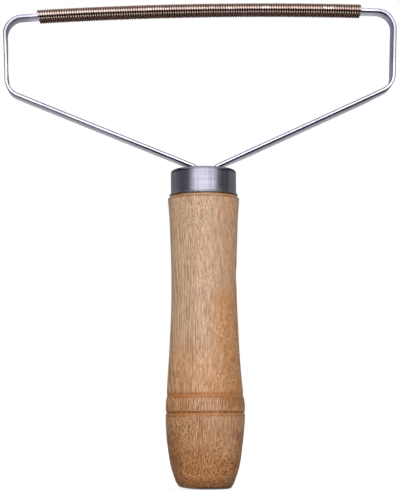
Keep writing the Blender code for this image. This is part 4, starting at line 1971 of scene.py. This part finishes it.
@dataclass
class Studio:
    """The plain pale floor, the soft lamps and the white surroundings."""

    floor_size: float = 9.0
    floor_drop: float = 0.1 * MM
    floor_colour: Colour = (0.62, 0.62, 0.62)
    near: float = 150.0
    near_lift: float = 0.72
    far: float = 1200.0
    far_lift: float = 0.95
    ambient: float = 0.36
    flags: float = 0.115
    ceiling: float = 0.85
    zenith: float = 0.70
    low_panel: float = 2.00
    backdrop: float = 0.42
    lamps: Sequence[Softbox] = (
        Softbox("front_softbox", (0.0, -1.15, 0.135), (0.0, 0.0, 0.135), (2.20, 0.77), 2.6, True),
        Softbox("upper_softbox", (0.0, -1.10, 0.95), (0.0, 0.0, 0.10), (1.20, 0.60), 1.6, False),
        Softbox("back_softbox", (0.0, 1.20, 0.80), (0.0, 0.0, 0.10), (1.60, 0.70), 0.5, False),
    )

    def floor(self) -> bpy.types.Object:
        """Makes the floor: pale paper that the camera sees as white outside the shadow.

        Returns:
            The floor.
        """
        weave = Weave("pale_paper")
        weave.feed(weave.shader.inputs["Base Color"], self.floor_colour)
        weave.shader.inputs["Roughness"].default_value = 0.9
        weave.shader.inputs["Specular IOR Level"].default_value = 0.0
        weave.shader.inputs["Emission Color"].default_value = (1.0, 1.0, 1.0, 1.0)
        x, y, _ = weave.split(weave.place())
        squares = weave.plus(weave.times(x, x), weave.times(y, y))
        away = weave.root(squares)
        lift = weave.step(away, self.near, self.far, self.near_lift, self.far_lift)
        seen = weave.node("ShaderNodeLightPath").outputs["Is Camera Ray"]
        weave.feed(weave.shader.inputs["Emission Strength"], weave.times(lift, seen))
        sheet = bmesh.new()
        spread = Matrix.Translation((0.0, 0.0, -self.floor_drop))
        bmesh.ops.create_grid(sheet, x_segments=1, y_segments=1, size=self.floor_size / 2, matrix=spread)
        made = shaped("paper_floor", sheet, [weave.material], math.radians(30))
        made.visible_glossy = False
        return made

    def surroundings(self) -> bpy.types.World:
        """Makes the world: white to the camera, soft to matt surfaces, and a graded white studio to metal.

        Returns:
            The world.
        """
        world = bpy.data.worlds.new("white_studio")
        world.use_nodes = True
        world.node_tree.nodes.clear()
        nodes = Nodes(world.node_tree)
        path = nodes.node("ShaderNodeLightPath")
        shiny = nodes.larger(path.outputs["Is Glossy Ray"], path.outputs["Is Transmission Ray"])
        matt = nodes.less(1.0, shiny)
        strength = nodes.plus(nodes.times(matt, self.ambient), nodes.times(shiny, self.in_metal(nodes)))
        strength = nodes.larger(strength, path.outputs["Is Camera Ray"])
        backing = nodes.node("ShaderNodeBackground")
        backing.inputs["Color"].default_value = (1.0, 1.0, 1.0, 1.0)
        nodes.feed(backing.inputs["Strength"], strength)
        out = nodes.node("ShaderNodeOutputWorld")
        nodes.feed(out.inputs["Surface"], backing.outputs[0])
        bpy.context.scene.world = world
        return world

    def in_metal(self, nodes: Nodes) -> Socket:
        """How bright metal sees the studio: white paper behind, a ceiling above, dark flags beside.

        Args:
            nodes: the world's node tree.

        Returns:
            The brightness.
        """
        x, y, z = nodes.split(nodes.node("ShaderNodeTexCoord").outputs["Generated"])
        middle = nodes.step(nodes.size(x), 0.65, 0.35)
        ceiling = nodes.times(middle, nodes.step(z, 0.45, 0.70, 0.0, self.ceiling))
        low = nodes.times(nodes.step(z, -0.45, -0.65), nodes.step(y, 0.25, 0.45, 0.0, self.low_panel))
        low = nodes.times(low, nodes.step(nodes.size(x), 0.50, 0.20))
        overhead = nodes.step(z, 0.90, 0.97, 0.0, self.zenith)
        behind = nodes.step(y, 0.86, 0.985, 0.0, self.backdrop)
        behind = nodes.times(behind, nodes.step(z, 0.15, -0.15, 0.35, 1.0))
        behind = nodes.times(behind, nodes.step(z, -0.13, -0.25, 1.0, 0.72))
        sides = nodes.step(y, -0.10, 0.50, self.flags * 0.9, self.flags * 2.1)
        dim = nodes.mix(nodes.step(z, -0.25, -0.55), (1.0, 1.0, 1.0), (0.40, 0.40, 0.40))
        sides = nodes.times(sides, nodes.split(dim)[0])
        panels = nodes.plus(nodes.plus(ceiling, overhead), low)
        return nodes.plus(nodes.plus(panels, behind), sides)

    def build(self) -> None:
        """Sets the studio up."""
        self.floor()
        self.surroundings()
        for lamp in self.lamps:
            lamp.build()
        bpy.context.scene.view_settings.view_transform = "Standard"


def main() -> None:
    """Builds the studio and the sub-assemblies, and reports each piece."""
    logging.basicConfig(level=logging.INFO, format="%(message)s")
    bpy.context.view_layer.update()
    PhotoView().build()
    Studio().build()
    cap_low, cap_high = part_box(Node.CAP.value)
    plug_low, plug_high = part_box(Node.PLUG.value)
    head = Head(cap_top=cap_high[2])
    plug_radius = plug_high[0]
    pieces = [
        Handle().build(),
        Cap(base=cap_low[2] - LIP_DROP, top=cap_high[2] - CAP_SINK, hole=plug_radius + HOLE_PLAY).build(),
        Strip(head).build(),
        Winding(head).build(),
        ResinPlug(head, radius=plug_radius, floor=plug_low[2], top=plug_high[2] + MENISCUS).build(),
    ]
    for piece in pieces:
        LOG.info("%s: %d faces", piece.name, len(piece.data.polygons))


if __name__ == "__main__":
    main()
